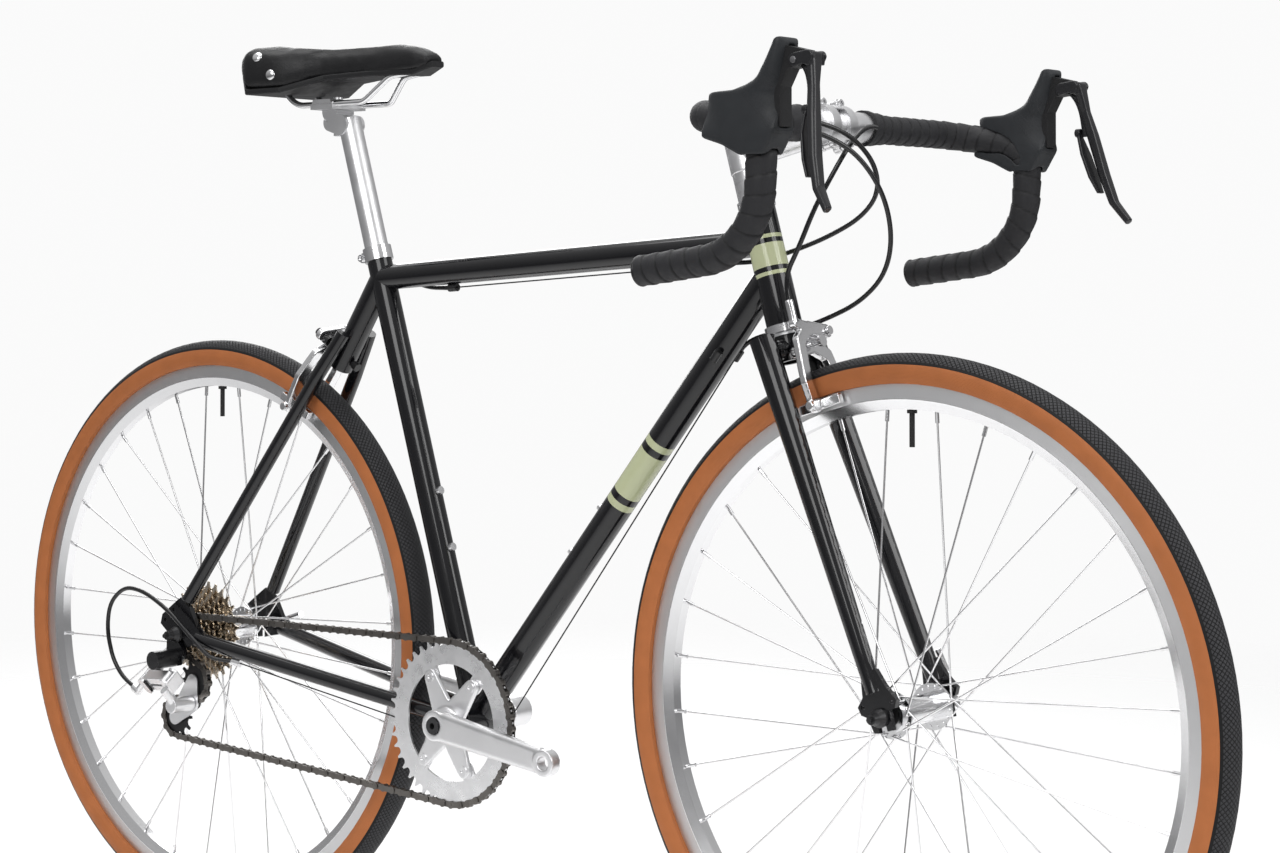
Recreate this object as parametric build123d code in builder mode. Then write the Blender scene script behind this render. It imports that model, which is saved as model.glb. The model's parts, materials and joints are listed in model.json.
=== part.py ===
from build123d import *
import math
import os

os.makedirs("parts", exist_ok=True)

# Road bicycle. +X points forward, +Y to the rider's left, +Z up.
# The origin lies on the ground, midway between the two axles.

# --- driving dimensions, millimetres and degrees ---
wheelbase = 996.0
wheel_radius = 348.0
chainstay_length = 426.0
bb_drop = 65.0
seat_angle = 73.05
head_angle = 74.0
fork_offset = 45.0

tube_radius = 14.3            # top tube and seat tube
tube_wall = 0.65
down_tube_radius = 15.9
head_tube_radius = 18.3
head_tube_bore = 15.2
seat_tube_length = 543.0
top_tube_on_seat = 510.0      # along the seat tube, from the bottom bracket
head_bottom = 401.0           # along the steering axis, from the point nearest the front axle
head_length = 124.0
top_tube_drop = 36.5          # below the top of the head tube
down_tube_rise = 54.5         # above the bottom of the head tube
bb_shell_radius = 20.3
bb_shell_bore = 17.2
bb_shell_length = 68.0
stay_radius = 8.0
chainstay_radius = 9.0

front_spacing = 100.0
rear_spacing = 130.0
dropout_thickness = 6.0
running_gap = 0.05
part_gap = 0.3

tyre_width = 38.5
rim_radius = 318.0
rim_depth = 25.0
rim_half_width = 10.8
rim_lip = 1.5
rim_well = 7.0
spoke_radius = 1.0
flange_hole_radius = 19.5
flange_radius = 23.0
spokes_per_wheel = 32
lacing_angle = 67.5           # three crossings
valve_radius = 3.0
axle_radius = 4.9
skewer_radius = 2.5
bearing_radius = 10.9

chain_pitch = 12.7
chainring_teeth = 44
cog_teeth = [11, 12, 14, 16, 18, 21, 24, 28]
cog_spacing = 4.8
cog_thickness = 1.8
first_cog_y = -59.3
freehub_radius = 16.4
chainline = -43.5
pulley_teeth = 11
guide_pulley = (-478.0, 293.0)
cage_length = 54.2
cage_lean = 29.9               # of the line between the pulleys, backwards from straight down
crank_length = 172.5
crank_angle = -6.5
bolt_circle_radius = 55.0

bar_radius = 11.9
bar_clamp_radius = 15.9
tape_radius = 15.6
bar_height = 921.0
bar_x = 400.0
bar_half_width = 230.0
steerer_radius = 14.3
stem_stack = 38.0             # spacers plus headset cover, above the head tube
seatpost_radius = 13.6
seatpost_length = 300.0
seatpost_exposed = 172.0

rim_brake_gap = 2.0

# --- places worked out from them ---
axle_z = wheel_radius
front_x = wheelbase / 2
rear_x = -wheelbase / 2
bb_z = axle_z - bb_drop
bb_x = rear_x + math.sqrt(chainstay_length**2 - bb_drop**2)
bb = Vector(bb_x, 0, bb_z)
seat_dir = Vector(-math.cos(math.radians(seat_angle)), 0, math.sin(math.radians(seat_angle)))
steer_dir = Vector(-math.cos(math.radians(head_angle)), 0, math.sin(math.radians(head_angle)))
ahead = Vector(steer_dir.Z, 0, -steer_dir.X)
front_axle = Vector(front_x, 0, axle_z)
rear_axle = Vector(rear_x, 0, axle_z)
steer_origin = front_axle - ahead * fork_offset
steering = Plane(origin=steer_origin, x_dir=ahead, z_dir=steer_dir)
head_top = head_bottom + head_length


def steer(forward, left, up):
    """A point given along the steering axis: forward of it, to the left, and up it."""
    return steering.from_local_coords(Vector(forward, left, up))


def on_seat(up):
    """A point on the seat tube's axis, measured up from the bottom bracket."""
    return bb + seat_dir * up


def facing(start, end):
    """A plane at start that faces end."""
    return Plane(origin=Vector(start), z_dir=Vector(end) - Vector(start))


def bar(start, end, radius, bore=0.0, mode=Mode.ADD):
    """Adds a round bar or tube from start to end to the open part."""
    with BuildSketch(facing(start, end)) as section:
        Circle(radius)
        if bore:
            Circle(bore, mode=Mode.SUBTRACT)
    extrude(section.sketch, amount=(Vector(end) - Vector(start)).length, mode=mode)


def cone(start, end, start_radius, end_radius, mode=Mode.ADD):
    """Adds a cone frustum from start to end to the open part."""
    span = (Vector(end) - Vector(start)).length
    with Locations(Location(facing(start, end))):
        Cone(start_radius, end_radius, span, align=(Align.CENTER, Align.CENTER, Align.MIN), mode=mode)


def turned(centre, outline, mode=Mode.ADD):
    """Turns a closed outline of (along +Y, radius) points about the Y axis through centre."""
    with BuildSketch(Plane(origin=centre, x_dir=(0, 1, 0), z_dir=(1, 0, 0))) as profile:
        with BuildLine():
            Polyline(*outline, close=True)
        make_face()
    revolve(profile.sketch, Axis(centre, (0, 1, 0)), mode=mode)


def ring(centre, low, high, outer, inner, mode=Mode.ADD):
    """Adds a plain ring about the Y axis through centre, between two places along Y."""
    turned(centre, [(low, inner), (high, inner), (high, outer), (low, outer)], mode)


def plate(plane, outline, thickness, mode=Mode.ADD):
    """Adds a flat plate with a closed outline on the plane."""
    with BuildSketch(plane) as shape:
        with BuildLine():
            Polyline(*outline, close=True)
        make_face()
    extrude(shape.sketch, amount=thickness, mode=mode)


def side_plane(y):
    """The XZ plane at a place along Y, whose normal points to +Y."""
    return Plane(origin=(0, y, 0), x_dir=(-1, 0, 0), z_dir=(0, 1, 0))


def side_plate(low, high, outline, mode=Mode.ADD):
    """Adds a plate between two places along Y, from an outline of (x, z) points."""
    plate(side_plane(low), [(-x, z) for x, z in outline], high - low, mode)


def swept(points, radii, radius, bore=0.0, mode=Mode.ADD):
    """Adds a round bar or tube along straight runs joined by tangent arcs."""
    with BuildLine() as route:
        FilletPolyline(*points, radius=radii)
    with BuildSketch(facing(points[0], points[1])) as section:
        Circle(radius)
        if bore:
            Circle(bore, mode=Mode.SUBTRACT)
    sweep(section.sketch, path=route.wires()[0], mode=mode)


def corner_radii(points, share=0.45):
    """The largest arc at each corner that its two runs leave room for."""
    found = []
    for before, here, after in zip(points, points[1:], points[2:]):
        first = Vector(here) - Vector(before)
        second = Vector(after) - Vector(here)
        half = math.radians(first.get_angle(second)) / 2
        found.append(share * min(first.length, second.length) / math.tan(half))
    return found


def cord(name, points, radius):
    """Adds a cord's tube along its route and prints its length and its tightest arc."""
    radii = corner_radii(points)
    swept(points, radii, radius)
    with BuildLine() as route:
        FilletPolyline(*points, radius=radii)
    print(name, "length", round(route.wires()[0].length, 1), "tightest arc", round(min(radii), 1))


def save(piece, name, *others):
    """Labels a finished piece, with any others fixed to it, and writes them as one STEP file."""
    whole = piece.part
    if others:
        whole = Compound(children=[solid for one in (piece, *others) for solid in one.part.solids()])
    whole.label = name
    export_step(whole, f"parts/{name}.step")


# --- frame ---
head_low, head_high = steer(0, 0, head_bottom), steer(0, 0, head_top)
top_tube_head = steer(0, 0, head_top - top_tube_drop)
down_tube_head = steer(0, 0, head_bottom + down_tube_rise)
seat_top = on_seat(seat_tube_length)
top_tube_seat = on_seat(top_tube_on_seat)

with BuildPart() as head_tube:
    bar(head_low, head_high, head_tube_radius, head_tube_bore)
save(head_tube, "head_tube")

with BuildPart() as bottom_bracket_shell:
    ring(bb, -bb_shell_length / 2, bb_shell_length / 2, bb_shell_radius, bb_shell_bore)

with BuildPart() as shell_envelope:
    ring(bb, -bb_shell_length / 2, bb_shell_length / 2, bb_shell_radius, 0.0)

with BuildPart() as head_envelope:
    bar(head_low, head_high, head_tube_radius)

with BuildPart() as seat_envelope:
    bar(bb, seat_top, tube_radius)

with BuildPart() as seat_tube:
    bar(bb, seat_top, tube_radius, seatpost_radius + running_gap)
    add(shell_envelope.part, mode=Mode.SUBTRACT)
save(seat_tube, "seat_tube", bottom_bracket_shell)

with BuildPart() as top_tube:
    bar(top_tube_seat, top_tube_head, tube_radius, tube_radius - tube_wall)
    add(seat_envelope.part, mode=Mode.SUBTRACT)
    add(head_envelope.part, mode=Mode.SUBTRACT)
save(top_tube, "top_tube")

with BuildPart() as down_tube:
    bar(bb, down_tube_head, down_tube_radius, down_tube_radius - tube_wall)
    add(seat_envelope.part, mode=Mode.SUBTRACT)
    add(shell_envelope.part, mode=Mode.SUBTRACT)
    add(head_envelope.part, mode=Mode.SUBTRACT)
save(down_tube, "down_tube")

# --- rear triangle ---
dropout_y = rear_spacing / 2
stay_y = dropout_y + dropout_thickness / 2
stay_foot = (rear_x + 12, axle_z + 34)
stay_slope = math.atan2(top_tube_seat.Z - stay_foot[1], top_tube_seat.X - stay_foot[0])
stay_span = math.hypot(top_tube_seat.Z - stay_foot[1], top_tube_seat.X - stay_foot[0])


def on_stay(share, y):
    """A point on the line from the dropout to the seat cluster, at a place along Y."""
    reach = share * stay_span
    return Vector(stay_foot[0] + reach * math.cos(stay_slope), y, stay_foot[1] + reach * math.sin(stay_slope))


monostay_end = 0.735
with BuildPart() as dropouts:
    for side in (-1, 1):
        low, high = sorted((side * dropout_y, side * (dropout_y + dropout_thickness)))
        outline = [(rear_x + 50, axle_z + 2), (rear_x + 36, axle_z + 10), (rear_x + 22, axle_z + 34), (rear_x + 6, axle_z + 44),
                   (rear_x - 6, axle_z + 36), (rear_x - 26, axle_z + 22), (rear_x - 29, axle_z + 11),
                   (rear_x - 17, axle_z + 2), (rear_x - 17, axle_z - 16), (rear_x + 2, axle_z - 17),
                   (rear_x + 14, axle_z - 14), (rear_x + 48, axle_z - 8)]
        if side < 0:
            outline[8:10] = [(rear_x - 19, axle_z - 28), (rear_x - 12, axle_z - 38), (rear_x + 2, axle_z - 37),
                            (rear_x + 8, axle_z - 28)]
        side_plate(low, high, outline)
        bar((rear_x, low - 1, axle_z), (rear_x, high + 1, axle_z), axle_radius, mode=Mode.SUBTRACT)
        slot = [(rear_x - axle_radius, axle_z), (rear_x + axle_radius, axle_z),
                (rear_x + axle_radius, axle_z - 30), (rear_x - axle_radius, axle_z - 30)]
        if side < 0:
            slot = [(rear_x - 3.4, axle_z - 3.4), (rear_x + 3.4, axle_z + 3.4),
                    (rear_x + 26, axle_z - 20), (rear_x + 20, axle_z - 26)]
        side_plate(low - 1, high + 1, slot, mode=Mode.SUBTRACT)
        for hole in ((rear_x - 21, axle_z + 16), (rear_x - 6, axle_z + 29)):
            bar((hole[0], low - 1, hole[1]), (hole[0], high + 1, hole[1]), 2.1, mode=Mode.SUBTRACT)

with BuildPart() as monostay:
    bar(on_stay(monostay_end, 0), on_stay(1, 0), tube_radius, tube_radius - 1.2)
    bar(on_stay(monostay_end, 0), on_stay(monostay_end + 0.012, 0), tube_radius)
    add(seat_envelope.part, mode=Mode.SUBTRACT)
    add(top_tube.part, mode=Mode.SUBTRACT)

with BuildPart() as seat_stays:
    for side in (-1, 1):
        route = [on_stay(monostay_end + 0.10, side * 21), on_stay(monostay_end - 0.03, side * 31),
                 on_stay(0.02, side * stay_y)]
        swept(route, [60], stay_radius)
    add(dropouts.part, mode=Mode.SUBTRACT)
    bar(on_stay(monostay_end, 0), on_stay(1, 0), tube_radius, mode=Mode.SUBTRACT)

with BuildPart() as chainstays:
    for side in (-1, 1):
        route = [bb + Vector(-8, side * 25, 1), bb + Vector(-84, side * 31, 12),
                 Vector(rear_x + 34, side * stay_y, axle_z - 3)]
        swept(route, [200], chainstay_radius)
    bridge_x = bb_x - 52
    bar((bridge_x, -20, bb_z + 7), (bridge_x, 20, bb_z + 7), 5)
    add(dropouts.part, mode=Mode.SUBTRACT)
    ring(bb, -bb_shell_length, bb_shell_length, bb_shell_radius, 0.0, mode=Mode.SUBTRACT)
    add(seat_envelope.part, mode=Mode.SUBTRACT)
save(chainstays, "chainstays", dropouts)

stay_mount = on_stay(monostay_end + 0.03, 0)
rear_up = (stay_mount - rear_axle).normalized()
rear_brake = Plane(origin=rear_axle, x_dir=Vector(-rear_up.Z, 0, rear_up.X), z_dir=rear_up)
rear_mount_s = (stay_mount - rear_axle).length
front_mount_s = 374.0


def rear_brake_point(out, left, up):
    """A point behind the rear brake bridge: out from the wheel plane's tangent, left, and up."""
    return rear_brake.from_local_coords(Vector(out, -left, up))


with BuildPart() as drilled_monostay:
    add(monostay.part)
    bar(rear_brake_point(-25, 0, rear_mount_s), rear_brake_point(25, 0, rear_mount_s), 3.0, mode=Mode.SUBTRACT)
save(seat_stays, "seat_stays", drilled_monostay)

# --- headset, fork ---
crown_s = 376.0
cup_height = 8.0
with BuildPart() as headset_cups:
    bar(head_high, steer(0, 0, head_top + 8), head_tube_radius + 1.2, steerer_radius + 0.7)
    bar(head_low, steer(0, 0, head_bottom - cup_height), head_tube_radius + 2.5, steerer_radius + 0.7)
save(headset_cups, "headset_cups")

race_top = head_bottom - cup_height - part_gap
with BuildPart() as crown_race:
    bar(steer(0, 0, race_top), steer(0, 0, race_top - 3), head_tube_radius - 0.5, steerer_radius)

crown_top = race_top - 3
blade_top = (-1.0, 41.0, 388.0)
blade_foot = (43.0, 53.0, 24.0)
with BuildPart() as fork_dropouts:
    for side in (-1, 1):
        outer = front_spacing / 2 + (dropout_thickness if side > 0 else 0)
        fork_side = Plane(origin=steer(0, side * outer, 0), x_dir=ahead, z_dir=(0, -1, 0))
        outline = [(34, 46), (52, 46), (58, 30), (63, 21), (68, 13), (64, 6), (57, 4), (56, -14), (49.9, -14),
                   (49.9, 0), (40.1, 0), (40.1, -14), (34, -13), (31, 2), (24, 6), (22, 14), (30, 22)]
        plate(fork_side, outline, dropout_thickness)
        bar(steer(fork_offset, side * 49, 0), steer(fork_offset, side * 57, 0), axle_radius, mode=Mode.SUBTRACT)
        for hole in ((62, 12), (27.5, 13)):
            bar(steer(hole[0], side * 49, hole[1]), steer(hole[0], side * 57, hole[1]), 2.1, mode=Mode.SUBTRACT)

with BuildPart() as fork_blades:
    for side in (-1, 1):
        top = steer(blade_top[0], side * blade_top[1], blade_top[2])
        foot = steer(blade_foot[0], side * blade_foot[1], blade_foot[2])
        cone(foot, top, 8.5, 13.6)
        cone(foot, top, 7.2, 12.3, mode=Mode.SUBTRACT)
        lean = (top - foot).normalized()
        bar(top - lean * 2, top, 13.5)
        bar(foot, foot + lean * 4, 8.4)
    add(fork_dropouts.part, mode=Mode.SUBTRACT)

with BuildPart() as blade_envelope:
    for side in (-1, 1):
        top = steer(blade_top[0], side * blade_top[1], blade_top[2])
        foot = steer(blade_foot[0], side * blade_foot[1], blade_foot[2])
        cone(foot, top, 8.5, 13.6)

with BuildPart() as fork_crown:
    bar(steer(0, 0, crown_top), steer(0, 0, crown_s - 13), head_tube_radius - 0.5)
    for side in (-1, 1):
        bar(steer(0, 0, crown_s), steer(blade_top[0] + 1, side * 41, crown_s - 2), 11)
    bar(steer(0, 0, crown_s - 20), steer(0, 0, crown_top + 1), steerer_radius, mode=Mode.SUBTRACT)
    bar(steer(-30, 0, front_mount_s), steer(30, 0, front_mount_s), 3.0, mode=Mode.SUBTRACT)
    add(blade_envelope.part, mode=Mode.SUBTRACT)

steerer_top = head_top + stem_stack + 38
with BuildPart() as steerer:
    bar(steer(0, 0, crown_s - 13), steer(0, 0, steerer_top), steerer_radius, steerer_radius - 1.6)
    bar(steer(-30, 0, front_mount_s), steer(30, 0, front_mount_s), 3.0, mode=Mode.SUBTRACT)
save(steerer, "fork", fork_crown, fork_blades, fork_dropouts)

# --- wheels ---
tyre_centre = wheel_radius - tyre_width / 2


def rim_at(centre):
    """A box rim with a tyre well, two brake tracks and a valve hole at the top."""
    outline = [(-6, rim_radius - rim_depth), (6, rim_radius - rim_depth), (rim_half_width, rim_radius - 15),
               (rim_half_width, rim_radius), (rim_half_width - rim_lip, rim_radius),
               (rim_half_width - rim_lip, rim_radius - rim_well), (-rim_half_width + rim_lip, rim_radius - rim_well),
               (-rim_half_width + rim_lip, rim_radius), (-rim_half_width, rim_radius),
               (-rim_half_width, rim_radius - 15)]
    with BuildPart() as rim:
        turned(centre, outline)
        bar(centre + Vector(0, 0, rim_radius - 40), centre + Vector(0, 0, rim_radius), valve_radius,
            mode=Mode.SUBTRACT)
    return rim


def tyre_at(centre):
    """A clincher tyre: a round casing whose beads stand in the rim's well."""
    bead = rim_half_width - rim_lip - 0.05
    section = Plane(origin=centre, x_dir=(0, 1, 0), z_dir=(1, 0, 0))
    with BuildPart() as tyre:
        with BuildSketch(section) as casing:
            with Locations((0, tyre_centre)):
                Circle(tyre_width / 2)
                Circle(tyre_width / 2 - 2.8, mode=Mode.SUBTRACT)
            with Locations((0, rim_radius + 0.2)):
                Rectangle(60, 60, align=(Align.CENTER, Align.MAX), mode=Mode.SUBTRACT)
            for side in (-1, 1):
                with BuildLine():
                    Polyline((side * 15.9, rim_radius + 0.2), (side * bead, rim_radius + 0.2),
                             (side * bead, rim_radius - rim_well + 0.3),
                             (side * (bead - 2.2), rim_radius - rim_well + 0.3),
                             (side * (bead - 2.2), rim_radius + 1.5), (side * 13.4, rim_radius + 3.4),
                             (side * 16.4, rim_radius + 2.6), close=True)
                make_face()
        revolve(casing.sketch, Axis(centre, (0, 1, 0)))
    return tyre


def tube_at(centre):
    """An inner tube with its valve, which goes down through the rim's valve hole."""
    section = Plane(origin=centre, x_dir=(0, 1, 0), z_dir=(1, 0, 0))
    with BuildPart() as tube:
        with BuildSketch(section) as skin:
            with Locations((0, rim_radius + 13)):
                Circle(13.4)
        revolve(skin.sketch, Axis(centre, (0, 1, 0)))
        bar(centre + Vector(0, 0, rim_radius - 62), centre + Vector(0, 0, rim_radius + 4), valve_radius - part_gap)
        bar(centre + Vector(0, 0, rim_radius - rim_depth - 4), centre + Vector(0, 0, rim_radius - rim_depth - 0.6),
            5.0)
        with BuildSketch(section) as air:
            with Locations((0, rim_radius + 13)):
                Circle(12.3)
        revolve(air.sketch, Axis(centre, (0, 1, 0)), mode=Mode.SUBTRACT)
        bar(centre + Vector(0, 0, rim_radius - 55), centre + Vector(0, 0, rim_radius + 8), 1.0, mode=Mode.SUBTRACT)
    return tube


def hub_at(centre, left, right, half_length, barrel):
    """A hub shell with two drilled flanges and a bearing seat at each end."""
    with BuildPart() as hub:
        ring(centre, right - half_length, left + 6, barrel, 7.0)
        for flange in (left, right):
            ring(centre, flange - 1.4, flange + 1.4, flange_radius, 7.0)
        ring(centre, left + 0.5, left + 6, bearing_radius + 5, 7.0)
        ring(centre, right - half_length, right - 0.5, bearing_radius + 5, 7.0)
        for low, high in ((left - 3, left + 7), (right - half_length - 1, right - half_length + 9)):
            ring(centre, low, high, bearing_radius + running_gap, 0.0, mode=Mode.SUBTRACT)
        for flange, start in ((left, 0.0), (right, 0.5)):
            for step in range(spokes_per_wheel // 2):
                turn = math.radians((step + start) * 720 / spokes_per_wheel + 180 / spokes_per_wheel)
                spot = centre + Vector(flange_hole_radius * math.sin(turn), 0, flange_hole_radius * math.cos(turn))
                bar(spot + Vector(0, flange - 3, 0), spot + Vector(0, flange + 3, 0), spoke_radius + 0.2,
                    mode=Mode.SUBTRACT)
    return hub


def spokes_at(centre, left, right):
    """Crossed spokes with their heads and nipples, half of them on each side of each flange."""
    prototypes = []
    for flange, start in ((left, 0.0), (right, 0.5)):
        for lean, first in ((1, 0), (-1, 1)):
            rim_turn = (first + start) * 720 / spokes_per_wheel + 180 / spokes_per_wheel
            hub_turn = math.radians(rim_turn + lean * lacing_angle)
            rim_turn = math.radians(rim_turn)
            outward = math.copysign(lean, flange)
            hole = centre + Vector(flange_hole_radius * math.sin(hub_turn), flange,
                                   flange_hole_radius * math.cos(hub_turn))
            rim_inner = rim_radius - rim_depth - part_gap
            foot = centre + Vector(rim_inner * math.sin(rim_turn), 0, rim_inner * math.cos(rim_turn))
            elbow = hole + Vector(0, outward * (5.2 if lean > 0 else 4.0), 0)
            head = hole - Vector(0, outward * 2.2, 0)
            with BuildPart() as spoke:
                swept([head, elbow, foot], [1.6], spoke_radius)
                bar(head, head + Vector(0, outward * 0.7, 0), 1.9)
                bar(foot, foot + (elbow - foot).normalized() * 11, 2.0)
            prototypes.append(spoke.part)
    with BuildPart(Plane(origin=centre, x_dir=(1, 0, 0), z_dir=(0, 1, 0))) as spokes:
        for prototype in prototypes:
            local = Plane(origin=centre, x_dir=(1, 0, 0), z_dir=(0, 1, 0)).to_local_coords(prototype)
            with PolarLocations(0, spokes_per_wheel // 4):
                add(local)
    return spokes


flange_left = 35.0
rear_right_flange = -16.0
for wheel, centre, right, half_length in (("front", front_axle, -flange_left, 6.0),
                                          ("rear", rear_axle, rear_right_flange, 3.6)):
    save(rim_at(centre), f"{wheel}_rim")
    save(tyre_at(centre), f"{wheel}_tyre", tube_at(centre))
    save(hub_at(centre, flange_left, right, half_length, 14.0), f"{wheel}_hub")
    save(spokes_at(centre, flange_left, right), f"{wheel}_spokes")

# --- axles, bearings and quick releases ---
for wheel, centre, right, half_length, spacing in (("front", front_axle, -flange_left, 6.0, front_spacing),
                                                   ("rear", rear_axle, rear_right_flange, 3.6, rear_spacing)):
    end = spacing / 2 + dropout_thickness
    with BuildPart() as axle:
        ring(centre, -end, end, axle_radius, skewer_radius + 0.2)
        for side in (-1, 1):
            low, high = sorted((side * (spacing / 2 - 3), side * spacing / 2))
            ring(centre, low, high, 8.5, axle_radius)
    with BuildPart() as bearings:
        ring(centre, flange_left - 2.8, flange_left + 5.8, bearing_radius, axle_radius)
        ring(centre, right - half_length + 0.2, right - half_length + 8.8, bearing_radius, axle_radius)
    with BuildPart() as skewer:
        ring(centre, -end - 20, end + 4, skewer_radius, 0.0)
        turned(centre, [(-end - 16, skewer_radius), (-end, skewer_radius), (-end, 9.5), (-end - 3, 9.5),
                        (-end - 9, 6.5), (-end - 16, 5)])
        turned(centre, [(end, skewer_radius), (end + 4, skewer_radius), (end + 4, 0), (end + 9, 0),
                        (end + 9, 7), (end + 3, 9.5), (end, 9.5)])
    save(axle, f"{wheel}_axle", bearings, skewer)
    hub_y = end + 9 + part_gap + 6
    reach = ahead if wheel == "front" else Vector(math.cos(math.radians(15)), 0, math.sin(math.radians(15)))
    reach = steer_dir if wheel == "front" else reach
    hinge = reach.cross(Vector(0, 1, 0))
    pivot = centre + Vector(0, hub_y, 0)
    with BuildPart() as lever:
        bar(pivot - hinge * 5, pivot + hinge * 5, 6)
        swept([pivot + reach * 2, pivot + reach * 28 + Vector(0, 3, 0), pivot + reach * 54 + Vector(0, -5, 0)],
              [40], 3.4)
    save(lever, f"{wheel}_release_lever")
    print(f"{wheel}_release_lever pivot", pivot, "axis", hinge)

# --- sprockets and chain ---
roller_radius = 3.85
tooth_tip = 2.8


def pitch_radius(teeth):
    """The radius on which a sprocket carries the chain's pins."""
    return chain_pitch / 2 / math.sin(math.pi / teeth)


def xz(point, y=0.0):
    """A point in the wheels' plane, as a vector at a place along Y."""
    return Vector(point[0], y, point[1])


def run_between(first, second):
    """The straight run that leaves one sprocket and meets the next, from their centres and signed radii."""
    (x1, z1, r1), (x2, z2, r2) = first, second
    span = math.hypot(x2 - x1, z2 - z1)
    course = math.atan2(z2 - z1, x2 - x1) + math.asin((r2 - r1) / span)
    right = (math.sin(course), -math.cos(course))
    return (x1 - r1 * right[0], z1 - r1 * right[1]), (x2 - r2 * right[0], z2 - r2 * right[1])


cog_radius = pitch_radius(cog_teeth[0])
ring_radius = pitch_radius(chainring_teeth)
pulley_radius = pitch_radius(pulley_teeth)


def chain_stretches(lean):
    """The chain's straight runs and arcs round its four sprockets, for a lean of the cage."""
    tension = (guide_pulley[0] - cage_length * math.sin(math.radians(lean)),
               guide_pulley[1] - cage_length * math.cos(math.radians(lean)))
    circles = [(rear_x, axle_z, cog_radius), (bb_x, bb_z, ring_radius), (*tension, pulley_radius),
               (*guide_pulley, -pulley_radius)]
    runs = [run_between(circles[i], circles[(i + 1) % 4]) for i in range(4)]
    ends_y = [(first_cog_y, chainline), (chainline, first_cog_y), (first_cog_y, first_cog_y),
              (first_cog_y, first_cog_y)]
    stretches = []
    for i in range(4):
        start, finish = runs[i]
        stretches.append(("run", start, finish, math.dist(start, finish), ends_y[i]))
        x, z, radius = circles[(i + 1) % 4]
        leaving = runs[(i + 1) % 4][0]
        angle_in = math.atan2(finish[1] - z, finish[0] - x)
        angle_out = math.atan2(leaving[1] - z, leaving[0] - x)
        turn = (angle_in - angle_out) % math.tau if radius > 0 else -((angle_out - angle_in) % math.tau)
        stretches.append(("arc", (x, z, abs(radius)), (angle_in, turn), abs(turn * radius), ends_y[i]))
    return stretches, tension


def along_chain(stretches, distance):
    """The point on the chain's line at a distance round its loop."""
    distance %= sum(stretch[3] for stretch in stretches)
    for kind, first, second, length, (y1, y2) in stretches:
        if distance > length:
            distance -= length
            continue
        share = distance / length
        if kind == "run":
            shift = min(max((share - 0.07) / 0.86, 0), 1)
            return Vector(first[0] + share * (second[0] - first[0]), y1 + shift * (y2 - y1),
                          first[1] + share * (second[1] - first[1]))
        angle = second[0] - share * second[1]
        return Vector(first[0] + first[2] * math.cos(angle), y2, first[1] + first[2] * math.sin(angle))
    return along_chain(stretches, 0)


def pins_for(stretches, count):
    """Pin places one chord apart round the loop, and how far past the start the last one comes."""
    places, distance = [0.0], 0.0
    for _ in range(count):
        step = chain_pitch
        for _ in range(4):
            here, there = along_chain(stretches, distance), along_chain(stretches, distance + step)
            step += chain_pitch - (there - here).length
        distance += step
        places.append(distance)
    return places[:-1], distance - sum(stretch[3] for stretch in stretches)


# The cage swings about the guide pulley until a whole, even number of links is tight.
nominal_length = sum(stretch[3] for stretch in chain_stretches(cage_lean)[0])
link_count = 2 * round(nominal_length / chain_pitch / 2)
slack_lean, tight_lean = cage_lean - 25, cage_lean + 25
for _ in range(24):
    fitted_lean = (slack_lean + tight_lean) / 2
    if pins_for(chain_stretches(fitted_lean)[0], link_count)[1] > 0:
        slack_lean = fitted_lean
    else:
        tight_lean = fitted_lean
stretches, tension_pulley = chain_stretches(fitted_lean)
pins = [along_chain(stretches, place) for place in pins_for(stretches, link_count)[0]]
print("chain", link_count, "links, cage lean", round(fitted_lean, 2), "tension pulley", tension_pulley)


def link_sketch(half_height, waist):
    """A link plate's outline, round at both pins and narrower between them."""
    with BuildSketch() as outline:
        with Locations((0, 0), (chain_pitch, 0)):
            Circle(half_height)
        with Locations((chain_pitch / 2, 0)):
            Rectangle(chain_pitch, 2 * waist)
    return outline.sketch


with BuildPart() as inner_link:
    for side in (-1, 1):
        with BuildSketch(Plane.XY.offset(side * 1.7 - 0.5)) as face:
            add(link_sketch(4.1, 3.1))
        extrude(face.sketch, amount=1.0)
    with BuildSketch(Plane.XY.offset(-1.3)) as rollers:
        with Locations((0, 0), (chain_pitch, 0)):
            Circle(roller_radius)
    extrude(rollers.sketch, amount=2.6)
    with Locations((0, 0, 0), (chain_pitch, 0, 0)):
        Cylinder(1.9, 10, mode=Mode.SUBTRACT)

with BuildPart() as outer_link:
    for side in (-1, 1):
        with BuildSketch(Plane.XY.offset(side * 2.8 - 0.5)) as face:
            add(link_sketch(4.1, 3.1))
        extrude(face.sketch, amount=1.0)
    with Locations((0, 0, 0), (chain_pitch, 0, 0)):
        Cylinder(1.8, 7.0)

links = []
for number, pin in enumerate(pins):
    course = (pins[(number + 1) % link_count] - pin).normalized()
    across = (Vector(0, 1, 0) - course * course.Y).normalized()
    piece = inner_link.part if number % 2 else outer_link.part
    links.append(piece.moved(Location(Plane(origin=pin, x_dir=course, z_dir=across))))
chain = Compound(label="chain", children=[link.solid() for link in links])
export_step(chain, "parts/chain.step")


def meshed_angle(centre):
    """The angle at which the pin nearest the middle of a sprocket's wrap stands about its centre."""
    near = [pin for pin in pins if abs(math.hypot(pin.X - centre[0], pin.Z - centre[1]) - centre[2]) < 0.15]
    middle = near[len(near) // 2]
    return math.atan2(middle.Z - centre[1], middle.X - centre[0])


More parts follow.
